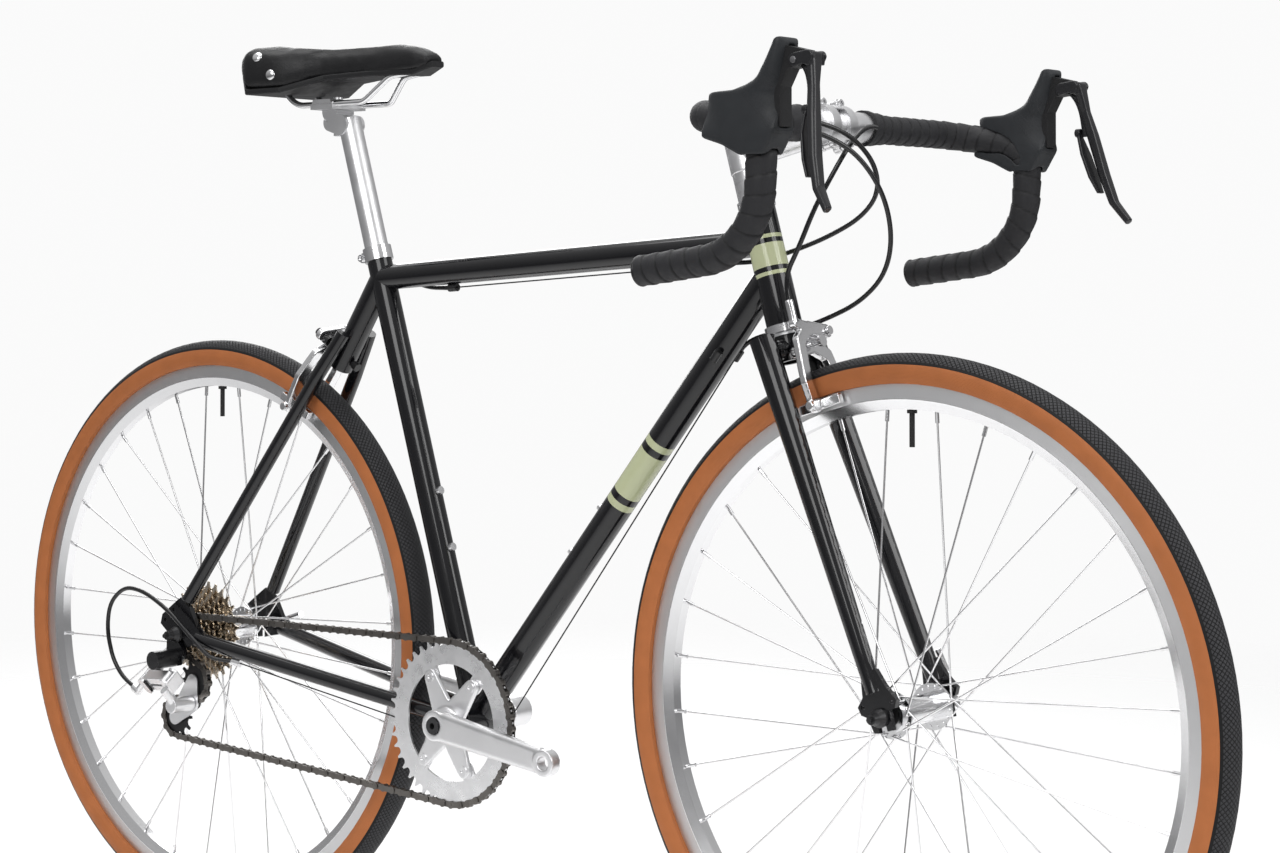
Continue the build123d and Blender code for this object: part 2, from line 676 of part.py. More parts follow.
def sprocket(centre, y, teeth, thickness, bore, phase, seat=4.35):
    """Adds a toothed disc whose gaps stand where the chain's rollers lie."""
    radius = pitch_radius(teeth)
    with BuildSketch(side_plane(y - thickness / 2)) as disc:
        with Locations((-centre[0], centre[1])):
            Circle(radius + tooth_tip)
            Circle(bore, mode=Mode.SUBTRACT)
        spots = [(-centre[0] - radius * math.cos(phase + math.tau * n / teeth),
                  centre[1] + radius * math.sin(phase + math.tau * n / teeth)) for n in range(teeth)]
        with Locations(*spots):
            Circle(seat, mode=Mode.SUBTRACT)
        for n in range(teeth):
            gap = phase + math.tau * n / teeth
            outward = (-math.cos(gap), math.sin(gap))
            with Locations((spots[n][0] + outward[0] * 3, spots[n][1] + outward[1] * 3)):
                Circle(seat + 1.1, mode=Mode.SUBTRACT)
    extrude(disc.sketch, amount=thickness)


rear_centre = (rear_x, axle_z)
with BuildPart() as cassette:
    for number, teeth in enumerate(cog_teeth):
        phase = meshed_angle((*rear_centre, cog_radius)) if number == 0 else 0.1 * number
        sprocket(rear_centre, first_cog_y + cog_spacing * number, teeth, cog_thickness, freehub_radius, phase)
        if teeth > 15:
            radius = (pitch_radius(teeth) + freehub_radius) / 2
            for n in range(8):
                spot = rear_axle + Vector(radius * math.cos(n * math.pi / 4), 0, radius * math.sin(n * math.pi / 4))
                y = first_cog_y + cog_spacing * number
                bar(spot + Vector(0, y - 2, 0), spot + Vector(0, y + 2, 0), (pitch_radius(teeth) - 24) / 5,
                    mode=Mode.SUBTRACT)
save(cassette, "cassette")

last_cog_y = first_cog_y + cog_spacing * (len(cog_teeth) - 1)
with BuildPart() as cassette_spacers:
    for number in range(len(cog_teeth) - 1):
        low = first_cog_y + cog_spacing * number + cog_thickness / 2
        ring(rear_axle, low, low + cog_spacing - cog_thickness, 19.0 if number else 18.0, freehub_radius)

lockring_y = first_cog_y - cog_thickness / 2
with BuildPart() as cassette_lockring:
    ring(rear_axle, lockring_y - 1.8, lockring_y, 17.3, 10.0)

with BuildPart() as freehub_body:
    hub_end = rear_right_flange - 3.6
    ring(rear_axle, lockring_y, hub_end - 0.4, freehub_radius, axle_radius + running_gap)
    ring(rear_axle, lockring_y - 1.2, lockring_y, 9.9, axle_radius + running_gap)
save(freehub_body, "freehub_body", cassette_spacers, cassette_lockring)

# --- bottom bracket and cranks ---
crank_dir = Vector(math.cos(math.radians(crank_angle)), 0, math.sin(math.radians(crank_angle)))
spindle_radius = 8.0
taper_radius = 7.0
with BuildPart() as bottom_bracket_cartridge:
    ring(bb, -bb_shell_length / 2, bb_shell_length / 2, bb_shell_bore, 13.0)
    for low in (-bb_shell_length / 2 - 2.5, bb_shell_length / 2 - 6):
        ring(bb, low, low + 8.5, bb_shell_bore, spindle_radius + running_gap)
    ring(bb, -bb_shell_length / 2 - 2.5, -bb_shell_length / 2, bb_shell_radius, spindle_radius + running_gap)
    ring(bb, bb_shell_length / 2, bb_shell_length / 2 + 2.5, bb_shell_radius, spindle_radius + running_gap)
save(bottom_bracket_cartridge, "bottom_bracket_cartridge")

arm_inner, arm_outer = 44.0, 72.0
with BuildPart() as crank_spindle:
    ring(bb, -arm_inner, arm_inner, spindle_radius, 4.0)
    for low in (-arm_inner - 22, arm_inner):
        ring(bb, low, low + 22, taper_radius, 4.0)


def crank_section(side, out, y, wide, thick):
    """A rounded section of the crank arm, at a distance out from the bottom bracket."""
    place = bb - crank_dir * (side * out) + Vector(0, side * y, 0)
    with BuildSketch(Plane(origin=place, x_dir=(0, 1, 0), z_dir=crank_dir)) as section:
        RectangleRounded(thick, wide, thick * 0.35)
    return section.sketch.face()


def crank_arm(side):
    """Adds one crank arm, its boss on the spindle and its threaded pedal eye."""
    sections = [crank_section(side, 6, 64.0, 34, 15), crank_section(side, 60, 69.5, 31, 13.5),
                crank_section(side, crank_length - 8, 80, 27, 12.5)]
    loft(sections, ruled=True)
    low, high = sorted((side * arm_inner, side * arm_outer))
    ring(bb, low, high, 17, 0.0)
    eye = bb - crank_dir * (side * crank_length)
    low, high = sorted((side * 73.5, side * 87.0))
    ring(eye, low, high, 14, 0.0)
    ring(eye, low - 1, high + 1, 7.14, 0.0, mode=Mode.SUBTRACT)
    low, high = sorted((side * (arm_inner - 1), side * (arm_inner + 22)))
    ring(bb, low, high, taper_radius, 0.0, mode=Mode.SUBTRACT)
    low, high = sorted((side * (arm_inner + 22), side * (arm_outer + 1)))
    ring(bb, low, high, 9, 0.0, mode=Mode.SUBTRACT)


def hull_plate(low, high, spots, mode=Mode.ADD):
    """Adds a plate whose outline is stretched round circles given as (x, z, radius)."""
    with BuildSketch(side_plane(low)) as outline:
        for x, z, radius in spots:
            with Locations((-x, z)):
                Circle(radius)
        make_hull()
    extrude(outline.sketch, amount=high - low, mode=mode)


bolt_turns = [crank_angle + turn for turn in (57, 124, 236, 303)]
bolt_spots = [(bb_x + bolt_circle_radius * math.cos(math.radians(turn)),
               bb_z + bolt_circle_radius * math.sin(math.radians(turn))) for turn in bolt_turns]
ring_half = 1.1
with BuildPart() as right_crank:
    crank_arm(-1)
    for x, z in bolt_spots:
        hull_plate(chainline - ring_half - 6, chainline - ring_half, [(bb_x, bb_z, 17), (x, z, 8.5)])
    ring(bb, -arm_inner - 22, -arm_inner + 1, taper_radius, 0.0, mode=Mode.SUBTRACT)
    for x, z in bolt_spots:
        bar((x, chainline - 12, z), (x, chainline + 2, z), 4, mode=Mode.SUBTRACT)
save(right_crank, "right_crank")

with BuildPart() as left_crank:
    crank_arm(1)
save(left_crank, "left_crank")

with BuildPart() as chainring:
    phase = meshed_angle((bb_x, bb_z, ring_radius))
    sprocket((bb_x, bb_z), chainline, chainring_teeth, 2 * ring_half, 64, phase)
    for x, z in bolt_spots:
        outward = Vector(x - bb_x, 0, z - bb_z).normalized() * 20
        hull_plate(chainline - ring_half, chainline + ring_half, [(x, z, 9), (x + outward.X, z + outward.Z, 9)])
        bar((x, chainline - 4, z), (x, chainline + 4, z), 4, mode=Mode.SUBTRACT)

with BuildPart() as chainring_bolts:
    for x, z in bolt_spots:
        bar((x, chainline - ring_half - 6, z), (x, chainline + ring_half, z), 4)
        bar((x, chainline - ring_half - 7.2, z), (x, chainline - ring_half - 6, z), 5.5, 2.5)
        bar((x, chainline + ring_half, z), (x, chainline + ring_half + 1, z), 5.5)
save(chainring, "chainring", chainring_bolts)

with BuildPart() as crank_bolts:
    for side in (-1, 1):
        low, high = sorted((side * (arm_inner + 22), side * (arm_outer + 1.5)))
        ring(bb, low, high, 8.9, 3.5)
        low, high = sorted((side * (arm_inner + 10), side * (arm_inner + 22)))
        ring(bb, low, high, 3.9, 0.0)
save(crank_spindle, "crank_spindle", crank_bolts)

# --- rear derailleur ---
hanger = (rear_x - 5, axle_z - 28)
arm_lean, arm_slant, arm_start = 10.0, 45.0, -22.0
link_length = 50.0
inner_pin = (-4.0, 12.0)         # from the outer link's upper pin, in the linkage's plane
forward = Vector(math.cos(math.radians(arm_lean)), 0, -math.sin(math.radians(arm_lean)))
upward = Vector(math.sin(math.radians(arm_lean)), 0, math.cos(math.radians(arm_lean)))
slant = math.radians(arm_slant)
pin_dir = upward * math.cos(slant) + Vector(0, math.sin(slant), 0)
inward = Vector(0, math.cos(slant), 0) - upward * math.sin(slant)
arm_turn = math.radians(arm_start)
link_dir = forward * math.cos(arm_turn) + inward * math.sin(arm_turn)
upper_pin = Vector(rear_x - 34, -84, axle_z - 52)
linkage = Plane(origin=upper_pin, x_dir=link_dir, z_dir=pin_dir)
cage_pivot = (guide_pulley[0] - 2, guide_pulley[1] - 25)


def on_linkage(x, y, z):
    """A point given in the linkage's own plane, whose Z runs along its pins."""
    return linkage.from_local_coords(Vector(x, y, z))


def linkage_plate(low, high, spots, mode=Mode.ADD):
    """Adds a plate across the linkage's pins, stretched round circles given as (x, y, radius)."""
    with BuildSketch(linkage.offset(low)) as outline:
        for x, y, radius in spots:
            with Locations((x, y)):
                Circle(radius)
        make_hull()
    extrude(outline.sketch, amount=high - low, mode=mode)


ear_low, ear_high, link_half = 7.3, 10.3, 7.0
pin_size = 2.0
q_x, q_y = inner_pin
with BuildPart() as derailleur_base:
    ring(xz(hanger), -104, -71, 10.5, 0.0)
    ring(xz(hanger), -72, -66, 4.4, 0.0)
    for low, high in ((ear_low, ear_high), (-ear_high, -ear_low)):
        linkage_plate(low, high, [(-4, 0, 6.5), (q_x - 4, q_y, 6.5)])
    linkage_plate(-ear_high, ear_high, [(-10.5, -2, 2), (q_x - 8.5, q_y, 2)])
    bar(on_linkage(-4, 5, 15.4), xz(hanger, -88), 5)
    for x, y in ((0, 0), (q_x, q_y)):
        bar(on_linkage(x, y, -ear_high), on_linkage(x, y, ear_high), pin_size)
    bar(on_linkage(-13, 4, 0), Vector(rear_x - 62, -77, axle_z - 71), 4)
    bar(Vector(rear_x - 60, -77, axle_z - 73), Vector(rear_x - 70, -77, axle_z - 68), 5)
    add(dropouts.part, mode=Mode.SUBTRACT)
save(derailleur_base, "derailleur_base")

for name, x, y, radius in (("derailleur_outer_link", 0, 0, 5), ("derailleur_inner_link", q_x, q_y, 4)):
    with BuildPart() as link:
        linkage_plate(-link_half, link_half, [(x, y, radius), (x + link_length, y, radius)])
        for end in (x, x + link_length):
            bar(on_linkage(end, y, -8), on_linkage(end, y, 8), pin_size + running_gap, mode=Mode.SUBTRACT)
    save(link, name)

cage_outer_y, cage_inner_y = first_cog_y - 3.8, first_cog_y + 3.6
cage_thick = 1.5
with BuildPart() as derailleur_knuckle:
    far = link_length
    for low, high in ((ear_low, ear_high), (-ear_high, -ear_low)):
        linkage_plate(low, high, [(far + 4, 0, 6.5), (far + q_x + 4, q_y, 6.5)])
    linkage_plate(-ear_high, ear_high, [(far + 10.5, 0, 2), (far + q_x + 9.5, q_y + 3, 2)])
    for x, y in ((far, 0), (far + q_x, q_y)):
        bar(on_linkage(x, y, -ear_high), on_linkage(x, y, ear_high), pin_size)
    ring(xz(cage_pivot), -96, cage_outer_y - cage_thick - part_gap, 9, 0.0)
    bar(on_linkage(far + 4, 5, -14), xz(cage_pivot, -86), 5.5)
save(derailleur_knuckle, "derailleur_knuckle")

pulley_bore = 2.5
pulley_seat = 4.55             # radius of the gap that takes a roller
with BuildPart() as derailleur_cage:
    spots = [(*guide_pulley, 9), (*cage_pivot, 12), (*tension_pulley, 9)]
    hull_plate(cage_outer_y - cage_thick, cage_outer_y, spots)
    spots = [(*guide_pulley, 8), (*cage_pivot, 8), (*tension_pulley, 8)]
    hull_plate(cage_inner_y, cage_inner_y + cage_thick, spots)
    for pulley in (guide_pulley, tension_pulley):
        bar(xz(pulley, cage_outer_y), xz(pulley, cage_inner_y), pulley_bore)
save(derailleur_cage, "derailleur_cage")

for name, pulley in (("guide_pulley", guide_pulley), ("tension_pulley", tension_pulley)):
    with BuildPart() as wheel_part:
        phase = meshed_angle((*pulley, pulley_radius))
        sprocket(pulley, first_cog_y, pulley_teeth, 1.8, pulley_bore + running_gap, phase, pulley_seat)
        ring(xz(pulley), cage_outer_y + 0.3, cage_inner_y - 0.3, 7, pulley_bore + running_gap)
    save(wheel_part, name)

# --- stem, spacers, handlebar ---
stem_low = head_top + stem_stack
stem_height = 40.0
bar_centre = Vector(bar_x, 0, bar_height)
bar_local = steering.to_local_coords(bar_centre)
with BuildPart() as headset_spacers:
    for number in range(3):
        low = head_top + 8 + number * 10
        bar(steer(0, 0, low + 0.1), steer(0, 0, low + 10), 17.5, steerer_radius)

face_gap = 1.0
band_half = 21.0
with BuildPart() as clamp_block:
    ring(bar_centre, -band_half, band_half, 21, 0.0)
    for side in (-1, 1):
        for up in (-1, 1):
            base = steer(bar_local.X - 10, side * 15, bar_local.Z + up * 21.5)
            bar(base, base + ahead * 17, 5)
    ring(bar_centre, -band_half - 1, band_half + 1, bar_clamp_radius, 0.0, mode=Mode.SUBTRACT)
    for side in (-1, 1):
        for up in (-1, 1):
            base = steer(bar_local.X - 12, side * 15, bar_local.Z + up * 21.5)
            bar(base, base + ahead * 30, 2.5, mode=Mode.SUBTRACT)
            bar(base + ahead * 19, base + ahead * 40, 4.2, mode=Mode.SUBTRACT)

front_half = Plane(origin=steer(bar_local.X + face_gap / 2, 0, 0), x_dir=(0, 1, 0), z_dir=ahead)
rear_half = Plane(origin=steer(bar_local.X - face_gap / 2, 0, 0), x_dir=(0, 1, 0), z_dir=ahead)
with BuildPart() as stem_faceplate:
    add(clamp_block.part)
    split(bisect_by=front_half, keep=Keep.TOP)
    window = steer(bar_local.X, 0, bar_local.Z)
    with Locations(Location(Plane(origin=window, x_dir=(0, 1, 0), z_dir=ahead))):
        Box(16, 26, 80, mode=Mode.SUBTRACT)

with BuildPart() as stem:
    bar(steer(0, 0, stem_low), steer(0, 0, stem_low + stem_height), 18.5)
    cone(steer(8, 0, stem_low + stem_height / 2), steer(bar_local.X - 14, 0, bar_local.Z), 16.5, 15)
    add(clamp_block.part)
    ring(bar_centre, -band_half - 1, band_half + 1, bar_clamp_radius, 0.0, mode=Mode.SUBTRACT)
    split(bisect_by=rear_half, keep=Keep.BOTTOM)
    bar(steer(0, 0, stem_low - 1), steer(0, 0, stem_low + stem_height + 1), steerer_radius, mode=Mode.SUBTRACT)
save(stem, "stem")

with BuildPart() as stem_bolts:
    for side in (-1, 1):
        for up in (-1, 1):
            base = steer(bar_local.X - 8, side * 15, bar_local.Z + up * 21.5)
            bar(base, base + ahead * 15, 2.5)
            bar(base + ahead * 15, base + ahead * 19, 4, 1.8)

with BuildPart() as steerer_cap:
    bar(steer(0, 0, stem_low + stem_height), steer(0, 0, stem_low + stem_height + 4), 17.5)
    bar(steer(0, 0, stem_low + 12), steer(0, 0, stem_low + stem_height), 3)
    bar(steer(0, 0, stem_low + 12), steer(0, 0, stem_low + 16), steerer_radius - 1.65)
save(stem_faceplate, "stem_clamp", stem_bolts, steerer_cap, headset_spacers, crown_race)

hook_x, hook_low_x = bar_x + 90, bar_x + 84
hook_low_z, end_x, end_z = bar_height - 129, bar_x - 54, bar_height - 146
taper_start, taper_end = 60.0, 95.0


def drop_route(side):
    """The bar's line on one side, from the taper out, forward, down and back."""
    return [Vector(bar_x, side * taper_end, bar_height), Vector(bar_x, side * (bar_half_width - 8), bar_height),
            Vector(hook_x, side * (bar_half_width + 2), bar_height - 15),
            Vector(hook_low_x, side * (bar_half_width + 1), hook_low_z),
            Vector(end_x, side * bar_half_width, end_z)]


drop_radii = [38, 35, 74]
with BuildPart() as bar_envelope:
    ring(bar_centre, -taper_start, taper_start, bar_clamp_radius, 0.0)
    for side in (-1, 1):
        inner, outer = bar_centre + Vector(0, side * taper_start, 0), bar_centre + Vector(0, side * taper_end, 0)
        cone(inner, outer, bar_clamp_radius, bar_radius)
        swept(drop_route(side), drop_radii, bar_radius)

with BuildPart() as handlebar:
    add(bar_envelope.part)
    ring(bar_centre, -taper_end, taper_end, bar_radius - 2, 0.0, mode=Mode.SUBTRACT)
    for side in (-1, 1):
        swept(drop_route(side), drop_radii, bar_radius - 2, mode=Mode.SUBTRACT)
save(handlebar, "handlebar")

with BuildPart() as tape_envelope:
    for side in (-1, 1):
        inner, outer = bar_centre + Vector(0, side * 56, 0), bar_centre + Vector(0, side * (taper_end + 2), 0)
        cone(inner, outer, 19, tape_radius)
        swept(drop_route(side), drop_radii, tape_radius)

with BuildPart() as bar_tape:
    add(tape_envelope.part)
    add(bar_envelope.part, mode=Mode.SUBTRACT)

with BuildPart() as bar_end_plugs:
    for side in (-1, 1):
        route = drop_route(side)
        out = (route[-1] - route[-2]).normalized()
        bar(route[-1], route[-1] + out * 4, tape_radius - 0.5)
        bar(route[-1] - out * 18, route[-1], bar_radius - 2)
save(bar_tape, "bar_tape", bar_end_plugs)

# --- brake and shift levers ---
lever_pivot = (bar_x + 134, bar_height + 43)
bracket_half, hood_half = 9.0, 17.0
lever_side = bar_half_width + 3
bracket_outline = [(bar_x + 96, bar_height - 20), (bar_x + 117, bar_height - 16), (bar_x + 117, bar_height + 20),
                   (bar_x + 126, bar_height + 36), (bar_x + 142, bar_height + 38), (bar_x + 143, bar_height + 52),
                   (bar_x + 118, bar_height + 58), (bar_x + 106, bar_height + 30)]
hood_outline = [(bar_x + 33, bar_height + 18), (bar_x + 68, bar_height + 19), (bar_x + 88, bar_height + 27),
                (bar_x + 101, bar_height + 47), (bar_x + 110, bar_height + 62), (bar_x + 120, bar_height + 66),
                (bar_x + 125, bar_height + 60), (bar_x + 121, bar_height + 39), (bar_x + 114, bar_height + 16),
                (bar_x + 116, bar_height - 18), (bar_x + 101, bar_height - 42), (bar_x + 76, bar_height - 42),
                (bar_x + 54, bar_height - 31), (bar_x + 31, bar_height - 24)]
with BuildPart() as lever_brackets:
    for side in (-1, 1):
        y = side * lever_side
        side_plate(y - bracket_half, y + bracket_half, bracket_outline)
        bar(xz(lever_pivot, y - 12), xz(lever_pivot, y + 12), 2.5 + running_gap, mode=Mode.SUBTRACT)
    add(tape_envelope.part, mode=Mode.SUBTRACT)
save(lever_brackets, "lever_brackets")

with BuildPart() as lever_hoods:
    for side in (-1, 1):
        y = side * lever_side
        side_plate(y - hood_half, y + hood_half, hood_outline)
    add(tape_envelope.part, mode=Mode.SUBTRACT)
    add(lever_brackets.part, mode=Mode.SUBTRACT)
    for side in (-1, 1):
        y = side * lever_side
        ring(xz(lever_pivot), y - 13, y + 13, 8.5, 0.0, mode=Mode.SUBTRACT)
save(lever_hoods, "lever_hoods")


def blade_section(side, x, y, z, wide, thick, lean):
    """A rounded section of a lever blade, level across and leaning with the blade."""
    normal = Vector(math.sin(math.radians(lean)), 0, -math.cos(math.radians(lean)))
    with BuildSketch(Plane(origin=(x, side * y, z), x_dir=(0, 1, 0), z_dir=normal)) as section:
        RectangleRounded(wide, thick, min(wide, thick) * 0.4)
    return section.sketch.face()


blade_line = [(bar_x + 149, 234, bar_height + 48, 18, 10, 5), (bar_x + 153, 240, bar_height + 20, 12, 9, 5),
              (bar_x + 158, 247, bar_height - 5, 14, 10, 12), (bar_x + 166, 256, bar_height - 45, 15, 9, 12),
              (bar_x + 174, 262, bar_height - 74, 13, 8, 22), (bar_x + 188, 268, bar_height - 94, 10, 7, 50)]
paddle_line = [(bar_x + 146, 240, bar_height - 4, 9, 3, 5), (bar_x + 150, 246, bar_height - 24, 20, 3, 10),
               (bar_x + 156, 252, bar_height - 48, 20, 3, 10), (bar_x + 161, 257, bar_height - 64, 12, 3, 12)]
paddle_pivot = Vector(bar_x + 145, 240, bar_height - 2)
for side, hand in ((1, "left"), (-1, "right")):
    y = side * lever_side
    with BuildPart() as lever:
        loft([blade_section(side, *row) for row in blade_line], ruled=True)
        for cheek in (-1, 1):
            low, high = sorted((y + cheek * 9.3, y + cheek * 12.0))
            hull_plate(low, high, [(*lever_pivot, 6.5), (bar_x + 149, bar_height + 46, 5.5)])
        ring(xz(lever_pivot), y - 12, y + 12, 2.5, 0.0)
        block = [(bar_x + 145, bar_height + 38), (bar_x + 152, bar_height + 38), (bar_x + 153, bar_height + 50),
                 (bar_x + 145, bar_height + 51)]
        side_plate(y - 12, y + 12, block)
    save(lever, f"brake_lever_{hand}")
    with BuildPart() as paddle:
        loft([blade_section(side, *row) for row in paddle_line], ruled=True)
        base = Vector(paddle_pivot.X, side * paddle_pivot.Y, paddle_pivot.Z)
        bar(base - Vector(3, 0, 0), base + Vector(3, 0, 0), 4.5)
        add(lever.part, mode=Mode.SUBTRACT)
    save(paddle, f"shift_paddle_{hand}")

# --- rim brakes ---


def caliper_plate(frame, low, high, spots, mode=Mode.ADD):
    """Adds a brake plate across the wheel, stretched round circles given as (across, up, radius)."""
    base = frame.from_local_coords(Vector(low, 0, 0))
    with BuildSketch(Plane(origin=base, x_dir=frame.y_dir, z_dir=frame.x_dir)) as outline:
        for across, up, radius in spots:
            with Locations((across, up)):
                Circle(radius)
        make_hull()
    extrude(outline.sketch, amount=high - low, mode=mode)


def place(frame, out, across, up):
    """A point in a brake's own frame: out from the fork or stays, across, and up from the axle."""
    return frame.from_local_coords(Vector(out, across, up))


for wheel, frame, back, base_out, mount_s in (("front", steering, -24, 18.2, front_mount_s),
                                              ("rear", rear_brake, -24, 14.9, rear_mount_s)):
    first, second = base_out + 4.3, base_out + 12.0
    arm_thick = 7.4
    pin_d = (18.0, mount_s + 11)
    with BuildPart() as mount:
        caliper_plate(frame, base_out, base_out + 4, [(0, mount_s, 9), (*pin_d, 6)])
        bar(place(frame, back, 0, mount_s), place(frame, base_out + 22, 0, mount_s), 3.0)
        bar(place(frame, base_out, *pin_d), place(frame, base_out + 22, *pin_d), 2.6)
        bar(place(frame, base_out + 20.1, 0, mount_s), place(frame, base_out + 24, 0, mount_s), 6)
        bar(place(frame, base_out + 20.1, *pin_d), place(frame, base_out + 23, *pin_d), 4.5)
        if wheel == "rear":
            bar(place(frame, back, 0, mount_s), place(frame, back + 7, 0, mount_s), 5)
            add(drilled_monostay.part, mode=Mode.SUBTRACT)
        else:
            bar(place(frame, back, 0, mount_s), place(frame, back + 4, 0, mount_s), 5)
            add(fork_crown.part, mode=Mode.SUBTRACT)
    if wheel == "front":
        save(mount, "front_brake_mount")
    else:
        rear_mount = mount
    pad_radius = rim_radius - 7.5
    low_pad, elbow = (28, pad_radius - 1), (32, mount_s - 40)
    with BuildPart() as y_arm:
        spots = [(0, mount_s, 9), (22, mount_s - 12, 7), (*elbow, 6), (*low_pad, 7)]
        for one, two in zip(spots, spots[1:]):
            caliper_plate(frame, first, first + arm_thick, [one, two])
        caliper_plate(frame, first, first + arm_thick, [(0, mount_s, 9), (-27, mount_s - 8, 6)])
        bar(place(frame, 0, 0, mount_s), place(frame, 60, 0, mount_s), 3.0 + running_gap, mode=Mode.SUBTRACT)
    with BuildPart() as c_arm:
        spots = [(*pin_d, 7), (-12, mount_s + 15, 7), (-30, mount_s + 2, 6.5), (-elbow[0] - 1, elbow[1], 6),
                 (-low_pad[0], low_pad[1], 7)]
        for one, two in zip(spots, spots[1:]):
            caliper_plate(frame, second, second + arm_thick, [one, two])
        caliper_plate(frame, second, second + arm_thick, [(-12, mount_s + 15, 6), (-31, mount_s + 20, 5)])
        bar(place(frame, second + 3.7, -31, mount_s + 20), place(frame, second + 3.7, -31, mount_s + 44), 4.5)
        bar(place(frame, 0, *pin_d), place(frame, 60, *pin_d), 2.6 + running_gap, mode=Mode.SUBTRACT)
        bar(place(frame, second + 3.7, -31, mount_s + 10), place(frame, second + 3.7, -31, mount_s + 46), 1.2,
            mode=Mode.SUBTRACT)
    pad_face = rim_half_width + rim_brake_gap
    wheel_centre = front_axle if wheel == "front" else rear_axle
    for arm, sign, out in ((y_arm, 1, first + 3.7), (c_arm, -1, second + 3.7)):
        lean = math.asin((out - frame.to_local_coords(wheel_centre).X) / pad_radius)
        radial = frame.z_dir * math.cos(lean) + frame.x_dir * math.sin(lean)
        across = frame.y_dir * sign
        centre = wheel_centre + radial * pad_radius + across * (pad_face + 4)
        stem_start = place(frame, out, sign * (pad_face + 7.9), low_pad[1])
        with BuildPart() as shoe:
            with Locations(Location(Plane(origin=centre, x_dir=frame.y_dir.cross(radial), z_dir=radial))):
                Box(50, 8, 10)
            bar(stem_start, place(frame, out, sign * 37, low_pad[1]), 3)
            bar(place(frame, out, sign * 35.2, low_pad[1]), place(frame, out, sign * 39, low_pad[1]), 5)
            add(arm.part, mode=Mode.SUBTRACT)
        save(arm, f"{wheel}_brake_{'short' if sign > 0 else 'long'}_arm", shoe)

# --- seat collar, seatpost, saddle ---
seat_rear = Vector(-seat_dir.Z, 0, seat_dir.X)
with BuildPart() as seat_collar:
    bar(on_seat(seat_tube_length - 13), on_seat(seat_tube_length), tube_radius + 2.2)
    bar(on_seat(seat_tube_length), on_seat(seat_tube_length + 3), tube_radius + 2.2)
    ear = on_seat(seat_tube_length - 4) + seat_rear * 19
    hull_plate(-7, 7, [(ear.X, ear.Z, 5.5), (ear.X + 8, ear.Z + 2.4, 6.5)])
    side_plate(-0.8, 0.8, [(ear.X - 8, ear.Z - 9), (ear.X + 8, ear.Z - 9), (ear.X + 8, ear.Z + 12),
                           (ear.X - 8, ear.Z + 12)], mode=Mode.SUBTRACT)
    ring(ear, -9, 9, 2.5, 0.0)
    ring(ear, -10.5, -7, 4.2, 2.5)
    bar(on_seat(seat_tube_length - 40), on_seat(seat_tube_length), tube_radius, mode=Mode.SUBTRACT)
    bar(on_seat(seat_tube_length - 1), on_seat(seat_tube_length + 9), seatpost_radius + running_gap,
        mode=Mode.SUBTRACT)
save(seat_collar, "seat_collar")

seatpost_top = seat_tube_length + seatpost_exposed - 15
tilt_axis = (-300.0, 964.0)
bolt_hole = 6.0
with BuildPart() as seatpost:
    bar(on_seat(seatpost_top + 15 - seatpost_length), on_seat(seatpost_top), seatpost_radius, 11.3)
    bar(on_seat(seatpost_top - 6), on_seat(seatpost_top + 1), seatpost_radius)
    hull_plate(-15, 15, [(-283, 948, 12), (-299, 951, 10)])
    ring(xz(tilt_axis), -16, 16, 12.3, 0.0, mode=Mode.SUBTRACT)
    bar((tilt_axis[0], 0, 930), (tilt_axis[0], 0, 970), bolt_hole, mode=Mode.SUBTRACT)
save(seatpost, "seatpost")

rail_y, rail_z, rail_radius = 22.0, 972.0, 3.5
with BuildPart() as saddle_rails:
    for side in (-1, 1):
        swept([(-158, side * 8, 1006), (-204, side * 12, 1000), (-236, side * rail_y, rail_z),
               (-346, side * rail_y, rail_z), (-376, side * 27, 1002)], [22, 14, 30], rail_radius)
save(saddle_rails, "saddle_rails")

with BuildPart() as saddle_clamp:
    ring(xz(tilt_axis), -14, 14, 12, 0.0)
    side_plate(-30, 30, [(-330, 966.2), (-270, 966.2), (-270, 990), (-330, 990)], mode=Mode.SUBTRACT)
    side_plate(-27, 27, [(-318, 965.9), (-282, 965.9), (-282, 971.6), (-318, 971.6)])
    side_plate(-27, 27, [(-316, 972.4), (-284, 972.4), (-286, 977.5), (-314, 977.5)])
    bar((tilt_axis[0], 0, 936), (tilt_axis[0], 0, 980), 3)
    bar((tilt_axis[0], 0, 936), (tilt_axis[0], 0, 940.5), 5)
    bar((tilt_axis[0], 0, 977), (tilt_axis[0], 0, 981), 5.5)
    for side in (-1, 1):
        bar((-330, side * rail_y, rail_z), (-270, side * rail_y, rail_z), rail_radius + running_gap,
            mode=Mode.SUBTRACT)
save(saddle_clamp, "saddle_clamp")

saddle_line = [(-140, 14, 1008, 1024), (-165, 20, 1000, 1033), (-230, 24, 1001, 1031), (-290, 38, 998, 1030),
               (-340, 62, 985, 1034), (-385, 72, 984, 1040), (-413, 50, 1004, 1034)]


def saddle_section(x, half, low, high):
    """A rounded section across the saddle."""
    with BuildSketch(Plane(origin=(x, 0, (low + high) / 2), x_dir=(0, 1, 0), z_dir=(-1, 0, 0))) as section:
        RectangleRounded(2 * half, high - low, min(half, (high - low) / 2) * 0.7)
    return section.sketch.face()


with BuildPart() as saddle_shell:
    loft([saddle_section(x, half - 4, low, low + 7) for x, half, low, high in saddle_line], ruled=True)
    add(saddle_rails.part, mode=Mode.SUBTRACT)
save(saddle_shell, "saddle_shell")

with BuildPart() as saddle_cover:
    loft([saddle_section(x, half, low + 1.5, high) for x, half, low, high in saddle_line], ruled=True)
    add(saddle_shell.part, mode=Mode.SUBTRACT)
    add(saddle_rails.part, mode=Mode.SUBTRACT)
save(saddle_cover, "saddle_cover")

